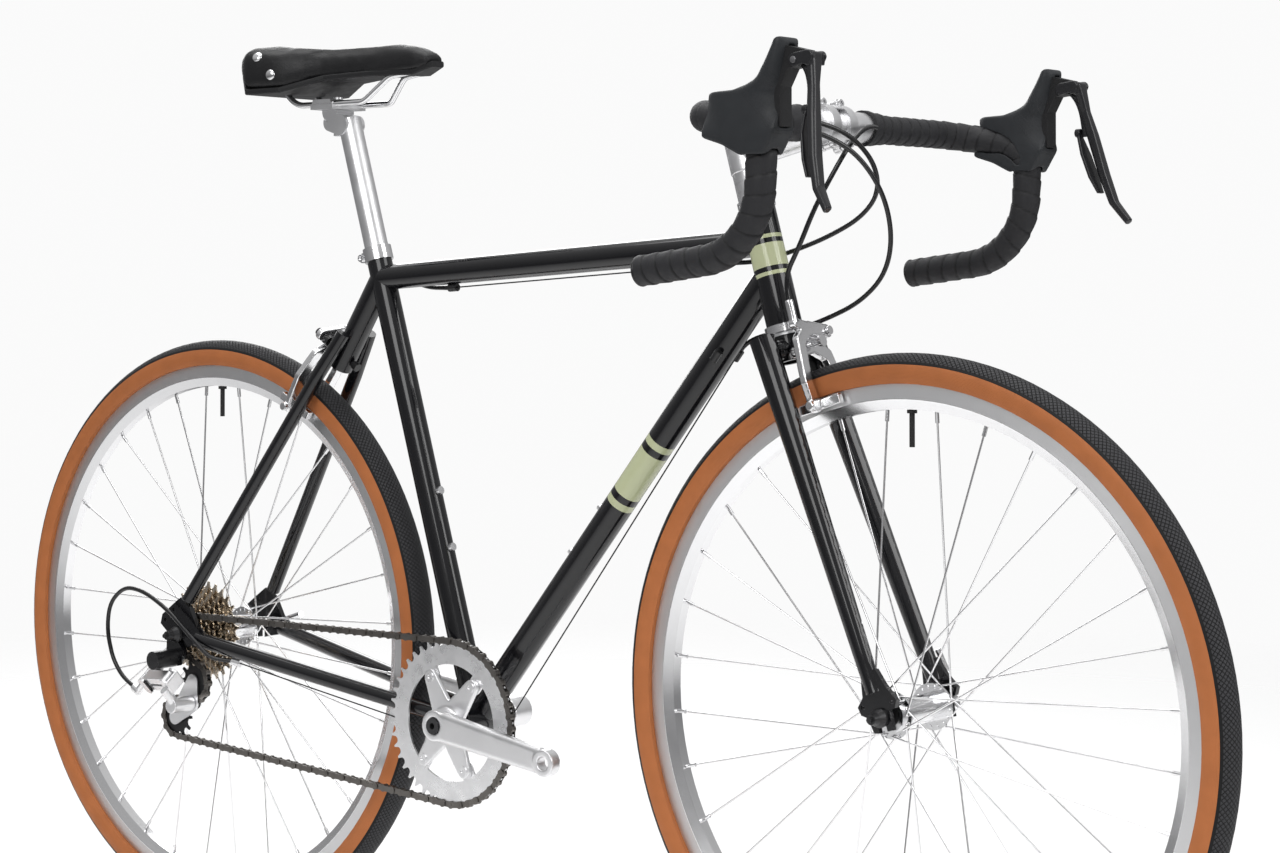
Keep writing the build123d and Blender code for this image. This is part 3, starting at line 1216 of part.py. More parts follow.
# --- cable stops, bottle bolts, cables ---
stop_radius, wire_radius, housing_radius = 4.5, 0.8, 2.5
top_dir = (top_tube_head - top_tube_seat).normalized()
down_dir = (down_tube_head - bb).normalized()
down_under = Vector(down_dir.Z, 0, -down_dir.X)
front_stop = top_tube_seat + top_dir * 471 - Vector(0, 0, tube_radius + 4)
back_stop = top_tube_seat + top_dir * 111 - Vector(0, 0, tube_radius + 4)
down_stops = [bb + down_dir * 535 + down_under * 8.5 + Vector(0, side * 18, 0) for side in (-1, 1)]
stay_dir = (Vector(rear_x + 34, -stay_y, axle_z - 3) - (bb + Vector(-84, -31, 12))).normalized()
stay_stop = bb + Vector(-84, -31, 12) + stay_dir * 248 - Vector(0, 0, chainstay_radius + 4)
stops = [(front_stop, top_dir), (back_stop, top_dir), (stay_stop, stay_dir)]
stops += [(place_, down_dir) for place_ in down_stops]

with BuildPart() as frame_fittings:
    for spot, course in stops:
        bar(spot - course * 6, spot + course * 6, stop_radius)
    for spot, normal in ((on_seat(255), -seat_rear), (on_seat(190), -seat_rear),
                         (bb + down_dir * 300, -down_under), (bb + down_dir * 236, -down_under)):
        bar(spot + normal * 10, spot + normal * 19, 4.5)
    for body in (top_tube, down_tube, chainstays):
        add(body.part, mode=Mode.SUBTRACT)
    bar(bb, on_seat(400), tube_radius, mode=Mode.SUBTRACT)
    bar(bb, down_tube_head, down_tube_radius, mode=Mode.SUBTRACT)
    for spot, course in stops:
        bar(spot - course * 8, spot + course * 8, wire_radius + 0.3, mode=Mode.SUBTRACT)
save(frame_fittings, "frame_fittings", rear_mount)

barrel = place(rear_brake, 14.9 + 12.0 + 3.7, -31, rear_mount_s + 44 + part_gap)
derailleur_stop = Vector(rear_x - 70.3, -77, axle_z - 67.8)
with BuildPart() as frame_cables:
    bar(back_stop - top_dir * 5, front_stop + top_dir * 5, wire_radius)
    cord("shift wire", [down_stops[1] - down_dir * 6.3, bb + Vector(20, 8, -25), bb + Vector(-16, -6, -26),
                        stay_stop - stay_dir * 6.3], wire_radius)
    cord("rear brake housing", [back_stop - top_dir * 7.4, back_stop + Vector(-57, 16, 0),
                                back_stop + Vector(-113, 31, 15), barrel + rear_brake.z_dir * 51,
                                barrel], housing_radius)
    cord("rear shift housing", [stay_stop + stay_dir * 7.4, Vector(-432, -77, 326), Vector(-462, -82, 350),
                                Vector(-500, -83, 378), Vector(-542, -84, 397), Vector(-580, -82, 400),
                                Vector(-610, -80, 378), Vector(-616, -79, 344), Vector(-606, -78, 311),
                                derailleur_stop + Vector(-22, 0, 11), derailleur_stop], housing_radius)
save(frame_cables, "frame_cables")

lever_exit = 54.4
with BuildPart() as steering_cables:
    cord("rear brake housing at the bar", [(419.4, -lever_exit, 922), (428, -34, 918), (437, -6, 905),
                                           (440, 22, 882), (431, 42, 855), (405, 50, 831), (368, 46, 812),
                                           (330, 36, 797), (296, 22, 786), front_stop + top_dir * 26,
                                           front_stop + top_dir * 6.2], housing_radius)
    cord("shift housing at the bar", [(418.4, -lever_exit, 912.4), (431, -36, 906), (444, -6, 886),
                                      (453, 20, 850), (450, 38, 808), (434, 48, 772), (404, 48, 745),
                                      (368, 42, 728), (332, 32, 715), down_stops[1] + down_dir * 24,
                                      down_stops[1] + down_dir * 6.2], housing_radius)
save(steering_cables, "steering_cables")

front_barrel = place(steering, 18.2 + 12.0 + 3.7, -31, front_mount_s + 44 + part_gap)
with BuildPart() as front_brake_cable:
    cord("front brake housing", [(419.4, lever_exit, 921), (424, 38, 922), (429, 14, 916), (429, -8, 900),
                                 (421, -24, 872), (405, -33, 838), (388, -35, 800),
                                 front_barrel + steer_dir * 22, front_barrel], housing_radius)
save(front_brake_cable, "front_brake_cable")
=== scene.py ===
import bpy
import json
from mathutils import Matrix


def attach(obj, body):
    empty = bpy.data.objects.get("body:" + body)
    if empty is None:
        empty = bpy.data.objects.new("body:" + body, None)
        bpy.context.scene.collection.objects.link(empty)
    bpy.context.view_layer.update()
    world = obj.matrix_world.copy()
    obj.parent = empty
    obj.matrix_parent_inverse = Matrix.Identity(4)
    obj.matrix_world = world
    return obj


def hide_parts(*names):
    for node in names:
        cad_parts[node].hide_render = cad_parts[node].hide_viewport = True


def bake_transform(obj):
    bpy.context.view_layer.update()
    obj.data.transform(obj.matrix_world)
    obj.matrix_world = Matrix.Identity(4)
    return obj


bl_info = {
    "name": "Road Bicycle",
    "version": (1, 0, 0),
    "blender": (4, 5, 0),
    "location": "View3D > Sidebar > Road Bicycle",
    "description": "Finishes a road bicycle's frame, wheels, drivetrain, bar, levers and saddle",
    "category": "Object",
}

import json
import math

import bpy
import numpy as np
from mathutils import Vector

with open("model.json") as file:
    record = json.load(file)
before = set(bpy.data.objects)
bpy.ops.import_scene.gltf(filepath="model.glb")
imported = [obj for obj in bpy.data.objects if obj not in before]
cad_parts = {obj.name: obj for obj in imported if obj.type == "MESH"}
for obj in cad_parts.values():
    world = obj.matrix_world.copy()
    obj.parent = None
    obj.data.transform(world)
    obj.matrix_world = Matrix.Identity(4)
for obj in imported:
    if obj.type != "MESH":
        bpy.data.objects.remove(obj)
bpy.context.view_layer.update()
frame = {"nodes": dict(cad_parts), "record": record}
record = frame["record"]
nodes = frame["nodes"]
body_of_node = {node: body for body, held in record["behaviour"]["bodies"].items() for node in held}
front_axle = Vector((0.498, 0, 0.348))
rear_axle = Vector((-0.498, 0, 0.348))
bottom_bracket = Vector((-0.077, 0, 0.283))


# --- selecting and finishing ---
def select_only(piece):
    """Makes one object the only selected one, and the active one."""
    if bpy.context.object and bpy.context.object.mode != "OBJECT":
        bpy.ops.object.mode_set(mode="OBJECT")
    bpy.ops.object.select_all(action="DESELECT")
    piece.hide_set(False)
    piece.select_set(True)
    bpy.context.view_layer.objects.active = piece


def dress(piece, material):
    """Gives a piece one material."""
    piece.data.materials.clear()
    piece.data.materials.append(material)


def apply_place(piece):
    """Moves a piece's place, turn and size into its mesh."""
    select_only(piece)
    bpy.ops.object.transform_apply(location=True, rotation=True, scale=True)


def apply_modifiers(piece):
    """Applies every modifier of a piece, first to last."""
    select_only(piece)
    for modifier in list(piece.modifiers):
        bpy.ops.object.modifier_apply(modifier=modifier.name)


def turn_outwards(piece):
    """Points every face of a closed piece outwards."""
    select_only(piece)
    bpy.ops.object.mode_set(mode="EDIT")
    bpy.ops.mesh.select_all(action="SELECT")
    bpy.ops.mesh.normals_make_consistent(inside=False)
    bpy.ops.object.mode_set(mode="OBJECT")


def smooth_faces(piece, angle=None):
    """Shades a piece smooth, all over or up to an angle in degrees."""
    select_only(piece)
    if angle is None:
        bpy.ops.object.shade_smooth()
    else:
        bpy.ops.object.shade_smooth_by_angle(angle=math.radians(angle))


def copy_of_node(node, name):
    """A copy of a CAD node's mesh as a new piece, with its loose triangles joined."""
    mesh = nodes[node].data.copy()
    mesh.materials.clear()
    piece = bpy.data.objects.new(name, mesh)
    bpy.context.scene.collection.objects.link(piece)
    select_only(piece)
    bpy.ops.object.mode_set(mode="EDIT")
    bpy.ops.mesh.select_all(action="SELECT")
    bpy.ops.mesh.remove_doubles(threshold=0.00001)
    bpy.ops.object.mode_set(mode="OBJECT")
    return piece


def round_horns(piece):
    """Turns the flat sides of each hood's horn into an oval, level by level."""
    points = np.array([vertex.co for vertex in piece.data.vertices])
    for side in (1, -1):
        own = points[:, 1] * side > 0
        hood = points[own]
        centre = (hood[:, 1].min() + hood[:, 1].max()) / 2
        levels = np.linspace(hood[:, 2].min(), hood[:, 2].max(), 56)
        step = levels[1] - levels[0]
        near = [hood[np.abs(hood[:, 2] - level) <= step, 0] for level in levels]
        back = np.interp(hood[:, 2], levels, [values.min() for values in near])
        front = np.interp(hood[:, 2], levels, [values.max() for values in near])
        along = np.abs(hood[:, 0] - (back + front) / 2) / np.maximum((front - back) / 2, 0.001)
        oval = np.maximum((1 - np.minimum(along, 1) ** 2.4) ** (1 / 2.4), 0.42)
        share = np.clip((hood[:, 2] - 0.900) / 0.024, 0, 1)
        share = share * share * (3 - 2 * share)
        hood[:, 1] = centre + (hood[:, 1] - centre) * (1 + (oval - 1) * share)
        points[own] = hood
    piece.data.vertices.foreach_set("co", points.astype(np.float32).ravel())
    piece.data.update()


def cast_copy(node, name, voxel, passes, material, keep=1.0, shape=None):
    """A rounded copy of a CAD node, as if cast or moulded, which stands for that node."""
    piece = copy_of_node(node, name)
    remesh = piece.modifiers.new("Even skin", "REMESH")
    remesh.mode = "VOXEL"
    remesh.voxel_size = voxel
    if shape:
        apply_modifiers(piece)
        shape(piece)
    soften = piece.modifiers.new("Rounded edges", "SMOOTH")
    soften.factor = 0.5
    soften.iterations = passes
    if keep < 1:
        thin = piece.modifiers.new("Fewer faces", "DECIMATE")
        thin.ratio = keep
    apply_modifiers(piece)
    smooth_faces(piece)
    dress(piece, material)
    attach(piece, body_of_node[node])
    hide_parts(node)
    return piece


# --- materials ---
def new_material(name, colour, roughness, metallic=0.0, coat=0.0, coat_roughness=0.05, specular=0.3):
    """A principled material, with its node tree, its shader and its links to add to."""
    material = bpy.data.materials.new(name)
    material.use_nodes = True
    tree = material.node_tree
    shader = tree.nodes["Principled BSDF"]
    shader.inputs["Base Color"].default_value = (*colour, 1)
    shader.inputs["Roughness"].default_value = roughness
    shader.inputs["Metallic"].default_value = metallic
    shader.inputs["Specular IOR Level"].default_value = 0.5 if metallic else specular
    shader.inputs["Coat Weight"].default_value = coat
    shader.inputs["Coat Roughness"].default_value = coat_roughness
    return material, tree, shader


def math_node(tree, operation, first, second=None, clamp=False):
    """A Math node fed by numbers or sockets."""
    node = tree.nodes.new("ShaderNodeMath")
    node.operation = operation
    node.use_clamp = clamp
    for socket, value in zip(node.inputs, (first, second)):
        if value is None:
            continue
        if isinstance(value, (int, float)):
            socket.default_value = value
        else:
            tree.links.new(value, socket)
    return node.outputs[0]


def centred(tree, centre):
    """The object coordinates measured from a centre, as X, Y and Z sockets."""
    coordinates = tree.nodes.new("ShaderNodeTexCoord")
    mapping = tree.nodes.new("ShaderNodeMapping")
    mapping.inputs["Location"].default_value = -centre
    tree.links.new(coordinates.outputs["Object"], mapping.inputs["Vector"])
    parts = tree.nodes.new("ShaderNodeSeparateXYZ")
    tree.links.new(mapping.outputs[0], parts.inputs[0])
    return parts.outputs


def noise(tree, scale, detail=3.0, stretch=(1, 1, 1)):
    """A noise value over the object coordinates, with a stretch along each axis."""
    coordinates = tree.nodes.new("ShaderNodeTexCoord")
    mapping = tree.nodes.new("ShaderNodeMapping")
    mapping.inputs["Scale"].default_value = stretch
    texture = tree.nodes.new("ShaderNodeTexNoise")
    texture.inputs["Scale"].default_value = scale
    texture.inputs["Detail"].default_value = detail
    tree.links.new(coordinates.outputs["Object"], mapping.inputs["Vector"])
    tree.links.new(mapping.outputs[0], texture.inputs["Vector"])
    return texture.outputs[0]


def blend_colour(tree, share, first, second):
    """A colour that goes from the first to the second as the share goes from 0 to 1."""
    mix = tree.nodes.new("ShaderNodeMix")
    mix.data_type = "RGBA"
    tree.links.new(share, mix.inputs["Factor"])
    for socket, value in ((mix.inputs["A"], first), (mix.inputs["B"], second)):
        if isinstance(value, tuple):
            socket.default_value = (*value, 1)
        else:
            tree.links.new(value, socket)
    return mix.outputs["Result"]


def vary(tree, shader, colour, spread, scale):
    """Lets a colour wander a little over the surface."""
    dark = tuple(channel * (1 - spread) for channel in colour)
    light = tuple(min(channel * (1 + spread), 1) for channel in colour)
    tree.links.new(blend_colour(tree, noise(tree, scale), dark, light), shader.inputs["Base Color"])


def vary_roughness(tree, shader, low, high, scale):
    """Lets the roughness wander between two values, as where a surface was handled or wiped."""
    span = tree.nodes.new("ShaderNodeMapRange")
    span.inputs["From Min"].default_value = 0.35
    span.inputs["From Max"].default_value = 0.65
    span.inputs["To Min"].default_value = low
    span.inputs["To Max"].default_value = high
    tree.links.new(noise(tree, scale), span.inputs["Value"])
    tree.links.new(span.outputs[0], shader.inputs["Roughness"])


def raise_by(tree, shader, height, distance, strength=1.0):
    """Bumps the surface by a height value, whose full depth is a distance in metres."""
    bump = tree.nodes.new("ShaderNodeBump")
    bump.inputs["Distance"].default_value = distance
    bump.inputs["Strength"].default_value = strength
    tree.links.new(height, bump.inputs["Height"])
    tree.links.new(bump.outputs[0], shader.inputs["Normal"])


def grained(name, colour, rough_low, rough_high, metallic=0.0, coat=0.0, grain=900, depth=0.00005,
            spread=0.1):
    """A plain finish with a wandering colour and gloss and a fine grain."""
    material, tree, shader = new_material(name, colour, rough_high, metallic, coat)
    vary(tree, shader, colour, spread, 25)
    vary_roughness(tree, shader, rough_low, rough_high, 60)
    raise_by(tree, shader, noise(tree, grain, 2), depth)
    return material


def parted_finish(name, low, high, axis, limit):
    """Bright metal below a limit along one axis, and satin black beyond it."""
    material, tree, shader = new_material(name, low, 0.3, 1.0)
    place = centred(tree, Vector((0, 0, 0)))[axis]
    beyond = math_node(tree, "GREATER_THAN", place, limit)
    shade = math_node(tree, "ADD", math_node(tree, "MULTIPLY", noise(tree, 60), 0.12), 0.94)
    tone = blend_colour(tree, beyond, low, high)
    scale = tree.nodes.new("ShaderNodeVectorMath")
    scale.operation = "SCALE"
    tree.links.new(tone, scale.inputs[0])
    tree.links.new(shade, scale.inputs["Scale"])
    tree.links.new(scale.outputs[0], shader.inputs["Base Color"])
    tree.links.new(math_node(tree, "SUBTRACT", 1.0, beyond), shader.inputs["Metallic"])
    raise_by(tree, shader, noise(tree, 900), 0.00001)
    vary_roughness(tree, shader, 0.22, 0.36, 60)
    return material


def gloss_paint(name, colour, bands=(), along=None, start=None, stripe=(0.50, 0.53, 0.33)):
    """Lacquered paint, with plain stripes round a tube at given distances along it, in metres."""
    material, tree, shader = new_material(name, colour, 0.2, 0.0, 0.7, 0.02, 0.2)
    raise_by(tree, shader, noise(tree, 160, 2), 0.00003)
    vary_roughness(tree, shader, 0.16, 0.24, 40)
    tone = blend_colour(tree, noise(tree, 12), colour, tuple(channel * 1.5 for channel in colour))
    if bands:
        x, y, z = centred(tree, start)[0:3]
        distance = math_node(tree, "ADD", math_node(tree, "MULTIPLY", x, along.x),
                             math_node(tree, "MULTIPLY", z, along.z))
        for low, high in bands:
            inside = math_node(tree, "MULTIPLY", math_node(tree, "GREATER_THAN", distance, low),
                               math_node(tree, "LESS_THAN", distance, high))
            tone = blend_colour(tree, inside, tone, stripe)
    tree.links.new(tone, shader.inputs["Base Color"])
    return material


def tyre_rubber(name, centre, tread, sidewall):
    """Black rubber with a diamond tread whose grooves get painted shade and whose block tops get painted light,
    over a coloured sidewall with fine moulded rings.
    """
    material, tree, shader = new_material(name, tread, 0.6)
    x, y, z = centred(tree, centre)[0:3]
    radius = math_node(tree, "SQRT", math_node(tree, "ADD", math_node(tree, "MULTIPLY", x, x),
                                               math_node(tree, "MULTIPLY", z, z)))
    turn = math_node(tree, "ARCTAN2", z, x)
    rise = math_node(tree, "SUBTRACT", radius, 0.32875)
    section = math_node(tree, "ARCTAN2", y, rise)
    edge = math_node(tree, "ADD", math_node(tree, "ABSOLUTE", section),
                     math_node(tree, "MULTIPLY", noise(tree, 60), 0.02))
    on_side = math_node(tree, "GREATER_THAN", edge, 1.14)
    lane = math_node(tree, "MULTIPLY", section, 0.01925 * math.pi / 0.0052)
    lap = math_node(tree, "MULTIPLY", turn, round(0.342 * math.pi / 0.0052))
    one = math_node(tree, "ABSOLUTE", math_node(tree, "SINE", math_node(tree, "ADD", lap, lane)))
    two = math_node(tree, "ABSOLUTE", math_node(tree, "SINE", math_node(tree, "SUBTRACT", lap, lane)))
    diamond = math_node(tree, "MINIMUM", math_node(tree, "MULTIPLY", one, 2.2, True),
                        math_node(tree, "MULTIPLY", two, 2.2, True))
    on_tread = math_node(tree, "LESS_THAN", edge, 0.98)
    blocks = math_node(tree, "MULTIPLY", diamond, on_tread)
    rings = math_node(tree, "ABSOLUTE", math_node(tree, "SINE", math_node(tree, "MULTIPLY", section, 46)))
    rings = math_node(tree, "MULTIPLY", math_node(tree, "GREATER_THAN", rings, 0.93), on_side)
    height = math_node(tree, "ADD", blocks, math_node(tree, "MULTIPLY", rings, 0.25))
    height = math_node(tree, "ADD", height, math_node(tree, "MULTIPLY", noise(tree, 1500), 0.08))
    raise_by(tree, shader, height, 0.0022)
    # Painted shade darkens the grooves between the tread blocks, and painted light lightens the block tops.
    painted_light_tops = tuple(channel * 3.4 for channel in tread)
    painted_shade_grooves = tuple(channel * 0.35 for channel in tread)
    black = blend_colour(tree, blocks, painted_shade_grooves, painted_light_tops)
    light = tuple(channel * 1.12 for channel in sidewall)
    dark = tuple(channel * 0.82 for channel in sidewall)
    tan = blend_colour(tree, noise(tree, 45, 5), dark, light)
    casing = blend_colour(tree, on_side, black, tan)
    valve = math_node(tree, "LESS_THAN", radius, 0.3105)
    tree.links.new(blend_colour(tree, valve, casing, (0.02, 0.02, 0.02)), shader.inputs["Base Color"])
    return material


def rim_metal(name, centre, colour):
    """Polished metal with a turned brake track near the rim's edge."""
    material, tree, shader = new_material(name, colour, 0.2, 1.0)
    x, y, z = centred(tree, centre)[0:3]
    radius = math_node(tree, "SQRT", math_node(tree, "ADD", math_node(tree, "MULTIPLY", x, x),
                                               math_node(tree, "MULTIPLY", z, z)))
    track = math_node(tree, "GREATER_THAN", radius, 0.3035)
    groove = math_node(tree, "ABSOLUTE", math_node(tree, "SINE", math_node(tree, "MULTIPLY", radius, 9000)))
    height = math_node(tree, "MULTIPLY", groove, math_node(tree, "MULTIPLY", track, 0.5))
    height = math_node(tree, "ADD", height, math_node(tree, "MULTIPLY", noise(tree, 700), 0.15))
    raise_by(tree, shader, height, 0.00008)
    rough = math_node(tree, "ADD", math_node(tree, "MULTIPLY", track, 0.14),
                      math_node(tree, "ADD", math_node(tree, "MULTIPLY", noise(tree, 50), 0.1), 0.12))
    tree.links.new(rough, shader.inputs["Roughness"])
    shade = tuple(channel * 0.86 for channel in colour)
    tree.links.new(blend_colour(tree, track, colour, shade), shader.inputs["Base Color"])
    return material


def turned_metal(name, centre, colour, roughness, pitch=0.0009, metallic=1.0):
    """Metal with fine turning marks round an axle."""
    material, tree, shader = new_material(name, colour, roughness, metallic)
    x, y, z = centred(tree, centre)[0:3]
    radius = math_node(tree, "SQRT", math_node(tree, "ADD", math_node(tree, "MULTIPLY", x, x),
                                               math_node(tree, "MULTIPLY", z, z)))
    groove = math_node(tree, "SINE", math_node(tree, "MULTIPLY", radius, math.tau / pitch))
    raise_by(tree, shader, math_node(tree, "ADD", groove, math_node(tree, "MULTIPLY", noise(tree, 900), 0.4)),
             0.000006)
    vary(tree, shader, colour, 0.12, 60)
    vary_roughness(tree, shader, roughness * 0.8, roughness * 1.25, 80)
    return material


def tape_cloth(name, colour):
    """Matt bar tape with painted shade darkening each lap's edge and painted light on each lap's middle."""
    material, tree, shader = new_material(name, colour, 0.62)
    lap_shade_mask = tree.nodes.new("ShaderNodeAttribute")
    lap_shade_mask.attribute_name = "lap"
    # Painted shade darkens the colour at each lap's edge, and painted light lightens each lap's middle.
    light = tuple(channel * 2.3 for channel in colour)
    dark = tuple(channel * 0.4 for channel in colour)
    tree.links.new(blend_colour(tree, lap_shade_mask.outputs["Fac"], dark, light), shader.inputs["Base Color"])
    pores = math_node(tree, "MULTIPLY", noise(tree, 2200, 2), 0.6)
    raise_by(tree, shader, math_node(tree, "ADD", pores, noise(tree, 500, 3)), 0.0002)
    vary_roughness(tree, shader, 0.52, 0.7, 120)
    return material


def ribbed_rubber(name, colour):
    """Soft rubber with fine ribs across its top and a leathery grain elsewhere."""
    material, tree, shader = new_material(name, colour, 0.5)
    x, y, z = centred(tree, Vector((0.47, 0, 0.95)))[0:3]
    slope = math_node(tree, "ADD", math_node(tree, "MULTIPLY", x, 0.75), math_node(tree, "MULTIPLY", z, 0.66))
    wave = math_node(tree, "SINE", math_node(tree, "MULTIPLY", slope, math.tau / 0.0032))
    ribs = math_node(tree, "GREATER_THAN", wave, 0.1)
    patch = math_node(tree, "MULTIPLY", math_node(tree, "GREATER_THAN", slope, -0.002),
                      math_node(tree, "LESS_THAN", slope, 0.034))
    ribbed = math_node(tree, "MULTIPLY", math_node(tree, "MULTIPLY", ribs, patch), 0.7)
    height = math_node(tree, "ADD", ribbed, math_node(tree, "MULTIPLY", noise(tree, 1300, 3), 0.12))
    raise_by(tree, shader, height, 0.0005)
    vary(tree, shader, colour, 0.2, 40)
    vary_roughness(tree, shader, 0.42, 0.58, 60)
    return material


# --- settings ---
class BicycleSettings(bpy.types.PropertyGroup):
    paint: bpy.props.FloatVectorProperty(
        name="Frame paint", description="Colour of the frame and fork", subtype="COLOR", size=3,
        default=(0.004, 0.004, 0.005), min=0, max=1)
    sidewall: bpy.props.FloatVectorProperty(
        name="Sidewall", description="Colour of the tyres' sides", subtype="COLOR", size=3,
        default=(0.50, 0.165, 0.052), min=0, max=1)
    tread: bpy.props.FloatVectorProperty(
        name="Tread", description="Colour of the tyres' tread", subtype="COLOR", size=3,
        default=(0.012, 0.012, 0.013), min=0, max=1)
    alloy: bpy.props.FloatVectorProperty(
        name="Alloy", description="Colour of the bright metal parts", subtype="COLOR", size=3,
        default=(0.83, 0.83, 0.84), min=0, max=1)
    tape: bpy.props.FloatVectorProperty(
        name="Bar tape", description="Colour of the tape round the bar", subtype="COLOR", size=3,
        default=(0.010, 0.010, 0.011), min=0, max=1)
    lap_width: bpy.props.FloatProperty(
        name="Lap width", description="How far one turn of the tape moves along the bar",
        default=0.0175, min=0.01, max=0.03, unit="LENGTH")
    lap_step: bpy.props.FloatProperty(
        name="Lap step", description="How far each turn of the tape stands above the next",
        default=0.0011, min=0, max=0.002, unit="LENGTH")
    cushion_rise: bpy.props.FloatProperty(
        name="Cushion rise", description="The most that the saddle's padding may swell",
        default=0.005, min=0.0, max=0.01, unit="LENGTH")


class BICYCLE_OT_paint(bpy.types.Operator):
    """Paint the frame and fork, with plain stripes on the down tube"""
    bl_idname = "bicycle.paint"
    bl_label = "Paint Frame"

    def execute(self, context):
        paint = tuple(context.scene.bicycle.paint)
        plain = gloss_paint("gloss_paint", paint)
        tube = Vector((0.638, 0, 0.770))
        striped = gloss_paint("striped_paint", paint, ((0.322, 0.330), (0.338, 0.396), (0.404, 0.412)), tube,
                              bottom_bracket)
        head = gloss_paint("head_paint", paint, ((0.452, 0.456), (0.461, 0.485), (0.490, 0.494)),
                           Vector((-0.2756, 0, 0.9613)), Vector((0.45474, 0, 0.3356)))
        for node in ("head_tube", "top_tube", "seat_tube", "seat_stays", "chainstays", "fork"):
            dress(nodes[node], plain)
        dress(nodes["down_tube"], striped)
        dress(nodes["head_tube"], head)
        return {"FINISHED"}


class BICYCLE_OT_metal(bpy.types.Operator):
    """Finish the bright and dark metal parts that keep their shape"""
    bl_idname = "bicycle.metal"
    bl_label = "Finish Metal Parts"

    def execute(self, context):
        alloy = tuple(context.scene.bicycle.alloy)
        satin = grained("satin_alloy", alloy, 0.30, 0.40, 1.0, 0.0, 900, 0.000008, 0.04)
        bright = grained("bright_alloy", alloy, 0.14, 0.22, 1.0, 0.0, 700, 0.000005, 0.03)
        steel = grained("dark_steel", (0.05, 0.05, 0.052), 0.3, 0.45, 0.7, 0.0, 1200, 0.00005)
        chrome = grained("chrome_wire", (0.85, 0.85, 0.86), 0.06, 0.12, 1.0, 0.0, 400, 0.00001, 0.02)
        casing = grained("cable_casing", (0.009, 0.009, 0.010), 0.25, 0.35, 0.0, 0.3, 1500, 0.00003)
        moulded = grained("moulded_plastic", (0.014, 0.014, 0.015), 0.42, 0.56, 0.0, 0.0, 1800, 0.0001)
        for node in ("stem_clamp", "handlebar", "seatpost", "saddle_clamp", "derailleur_cage"):
            dress(nodes[node], satin)
        for node in ("headset_cups", "seat_collar", "front_hub", "rear_hub", "front_release_lever",
                     "rear_release_lever", "front_brake_mount"):
            dress(nodes[node], bright)
        for node in ("bottom_bracket_cartridge", "rear_axle", "front_axle", "freehub_body", "crank_spindle"):
            dress(nodes[node], steel)
        for node in ("front_spokes", "rear_spokes", "saddle_rails"):
            dress(nodes[node], chrome)
        for node in ("guide_pulley", "tension_pulley", "lever_brackets", "saddle_shell"):
            dress(nodes[node], moulded)
        dress(nodes["frame_cables"], casing)
        ink = (0.012, 0.012, 0.013)
        dress(nodes["derailleur_base"], parted_finish("derailleur_base_finish", alloy, ink, 0, -0.532))
        dress(nodes["frame_fittings"], parted_finish("fittings_finish", alloy, ink, 2, 0.60))
        links = grained("chain_steel", (0.16, 0.15, 0.14), 0.25, 0.4, 1.0, 0.0, 700, 0.00005, 0.25)
        dress(nodes["chain"], links)
        dress(nodes["cassette"], turned_metal("nickel_steel", rear_axle, (0.66, 0.58, 0.48), 0.25))
        dress(nodes["chainring"], turned_metal("chainring_alloy", bottom_bracket, alloy, 0.3))
        return {"FINISHED"}


class BICYCLE_OT_wheels(bpy.types.Operator):
    """Give the tyres their tread and sidewalls, and the rims their brake tracks"""
    bl_idname = "bicycle.wheels"
    bl_label = "Finish Wheels"

    def execute(self, context):
        settings = context.scene.bicycle
        for wheel, centre in (("front", front_axle), ("rear", rear_axle)):
            rubber = tyre_rubber(f"{wheel}_tyre_rubber", centre, tuple(settings.tread),
                                 tuple(settings.sidewall))
            dress(nodes[f"{wheel}_tyre"], rubber)
            dress(nodes[f"{wheel}_rim"], rim_metal(f"{wheel}_rim_metal", centre, tuple(settings.alloy)))
        return {"FINISHED"}


class BICYCLE_OT_castings(bpy.types.Operator):
    """Round the cranks, stem, brake arms and derailleur links as cast and forged parts"""
    bl_idname = "bicycle.castings"
    bl_label = "Round Castings"

    def execute(self, context):
        alloy = tuple(context.scene.bicycle.alloy)
        forged = grained("forged_alloy", alloy, 0.32, 0.42, 1.0, 0.0, 800, 0.000006, 0.04)
        polished = grained("polished_alloy", alloy, 0.14, 0.22, 1.0, 0.0, 600, 0.000005, 0.03)
        for node, voxel, passes in (("right_crank", 0.0011, 5), ("left_crank", 0.0011, 5), ("stem", 0.001, 5),
                                    ("derailleur_outer_link", 0.0007, 4), ("derailleur_inner_link", 0.0007, 4),
                                    ("derailleur_knuckle", 0.0008, 4)):
            cast_copy(node, f"{node}_forged", voxel, passes, forged, 0.6)
        for wheel in ("front", "rear"):
            for arm in ("short", "long"):
                node = f"{wheel}_brake_{arm}_arm"
                cast_copy(node, f"{node}_forged", 0.0009, 4, polished, 0.6)
        return {"FINISHED"}


def rounded_line(name, route, radii):
    """A curve along straight runs joined by tangent arcs."""
    bpy.ops.object.select_all(action="DESELECT")
    bpy.ops.curve.primitive_bezier_curve_add()
    curve = bpy.context.object
    curve.name = name
    knots = [(route[0], None, (route[1] - route[0]).normalized() * 0.01)]
    for before, corner, after, radius in zip(route, route[1:], route[2:], radii):
        into, out = (corner - before).normalized(), (after - corner).normalized()
        turn = into.angle(out)
        reach = radius * math.tan(turn / 2)
        handle = radius * 4 / 3 * math.tan(turn / 4)
        knots.append((corner - into * reach, into * handle, into * handle))
        knots.append((corner + out * reach, out * handle, out * handle))
    last = (route[-1] - route[-2]).normalized() * 0.01
    knots.append((route[-1], last, None))
    spline = curve.data.splines[0]
    spline.bezier_points.add(len(knots) - 2)
    for point, (place, back, front) in zip(spline.bezier_points, knots):
        point.handle_left_type = point.handle_right_type = "FREE"
        point.co = place
        point.handle_left = place - (back or front)
        point.handle_right = place + (front or back)
    for number in range(len(knots) - 1):
        one, two = spline.bezier_points[number], spline.bezier_points[number + 1]
        if number % 2 == 0:
            one.handle_right = one.co + (two.co - one.co) / 3
            two.handle_left = two.co - (two.co - one.co) / 3
    curve.data.resolution_u = 48
    return curve


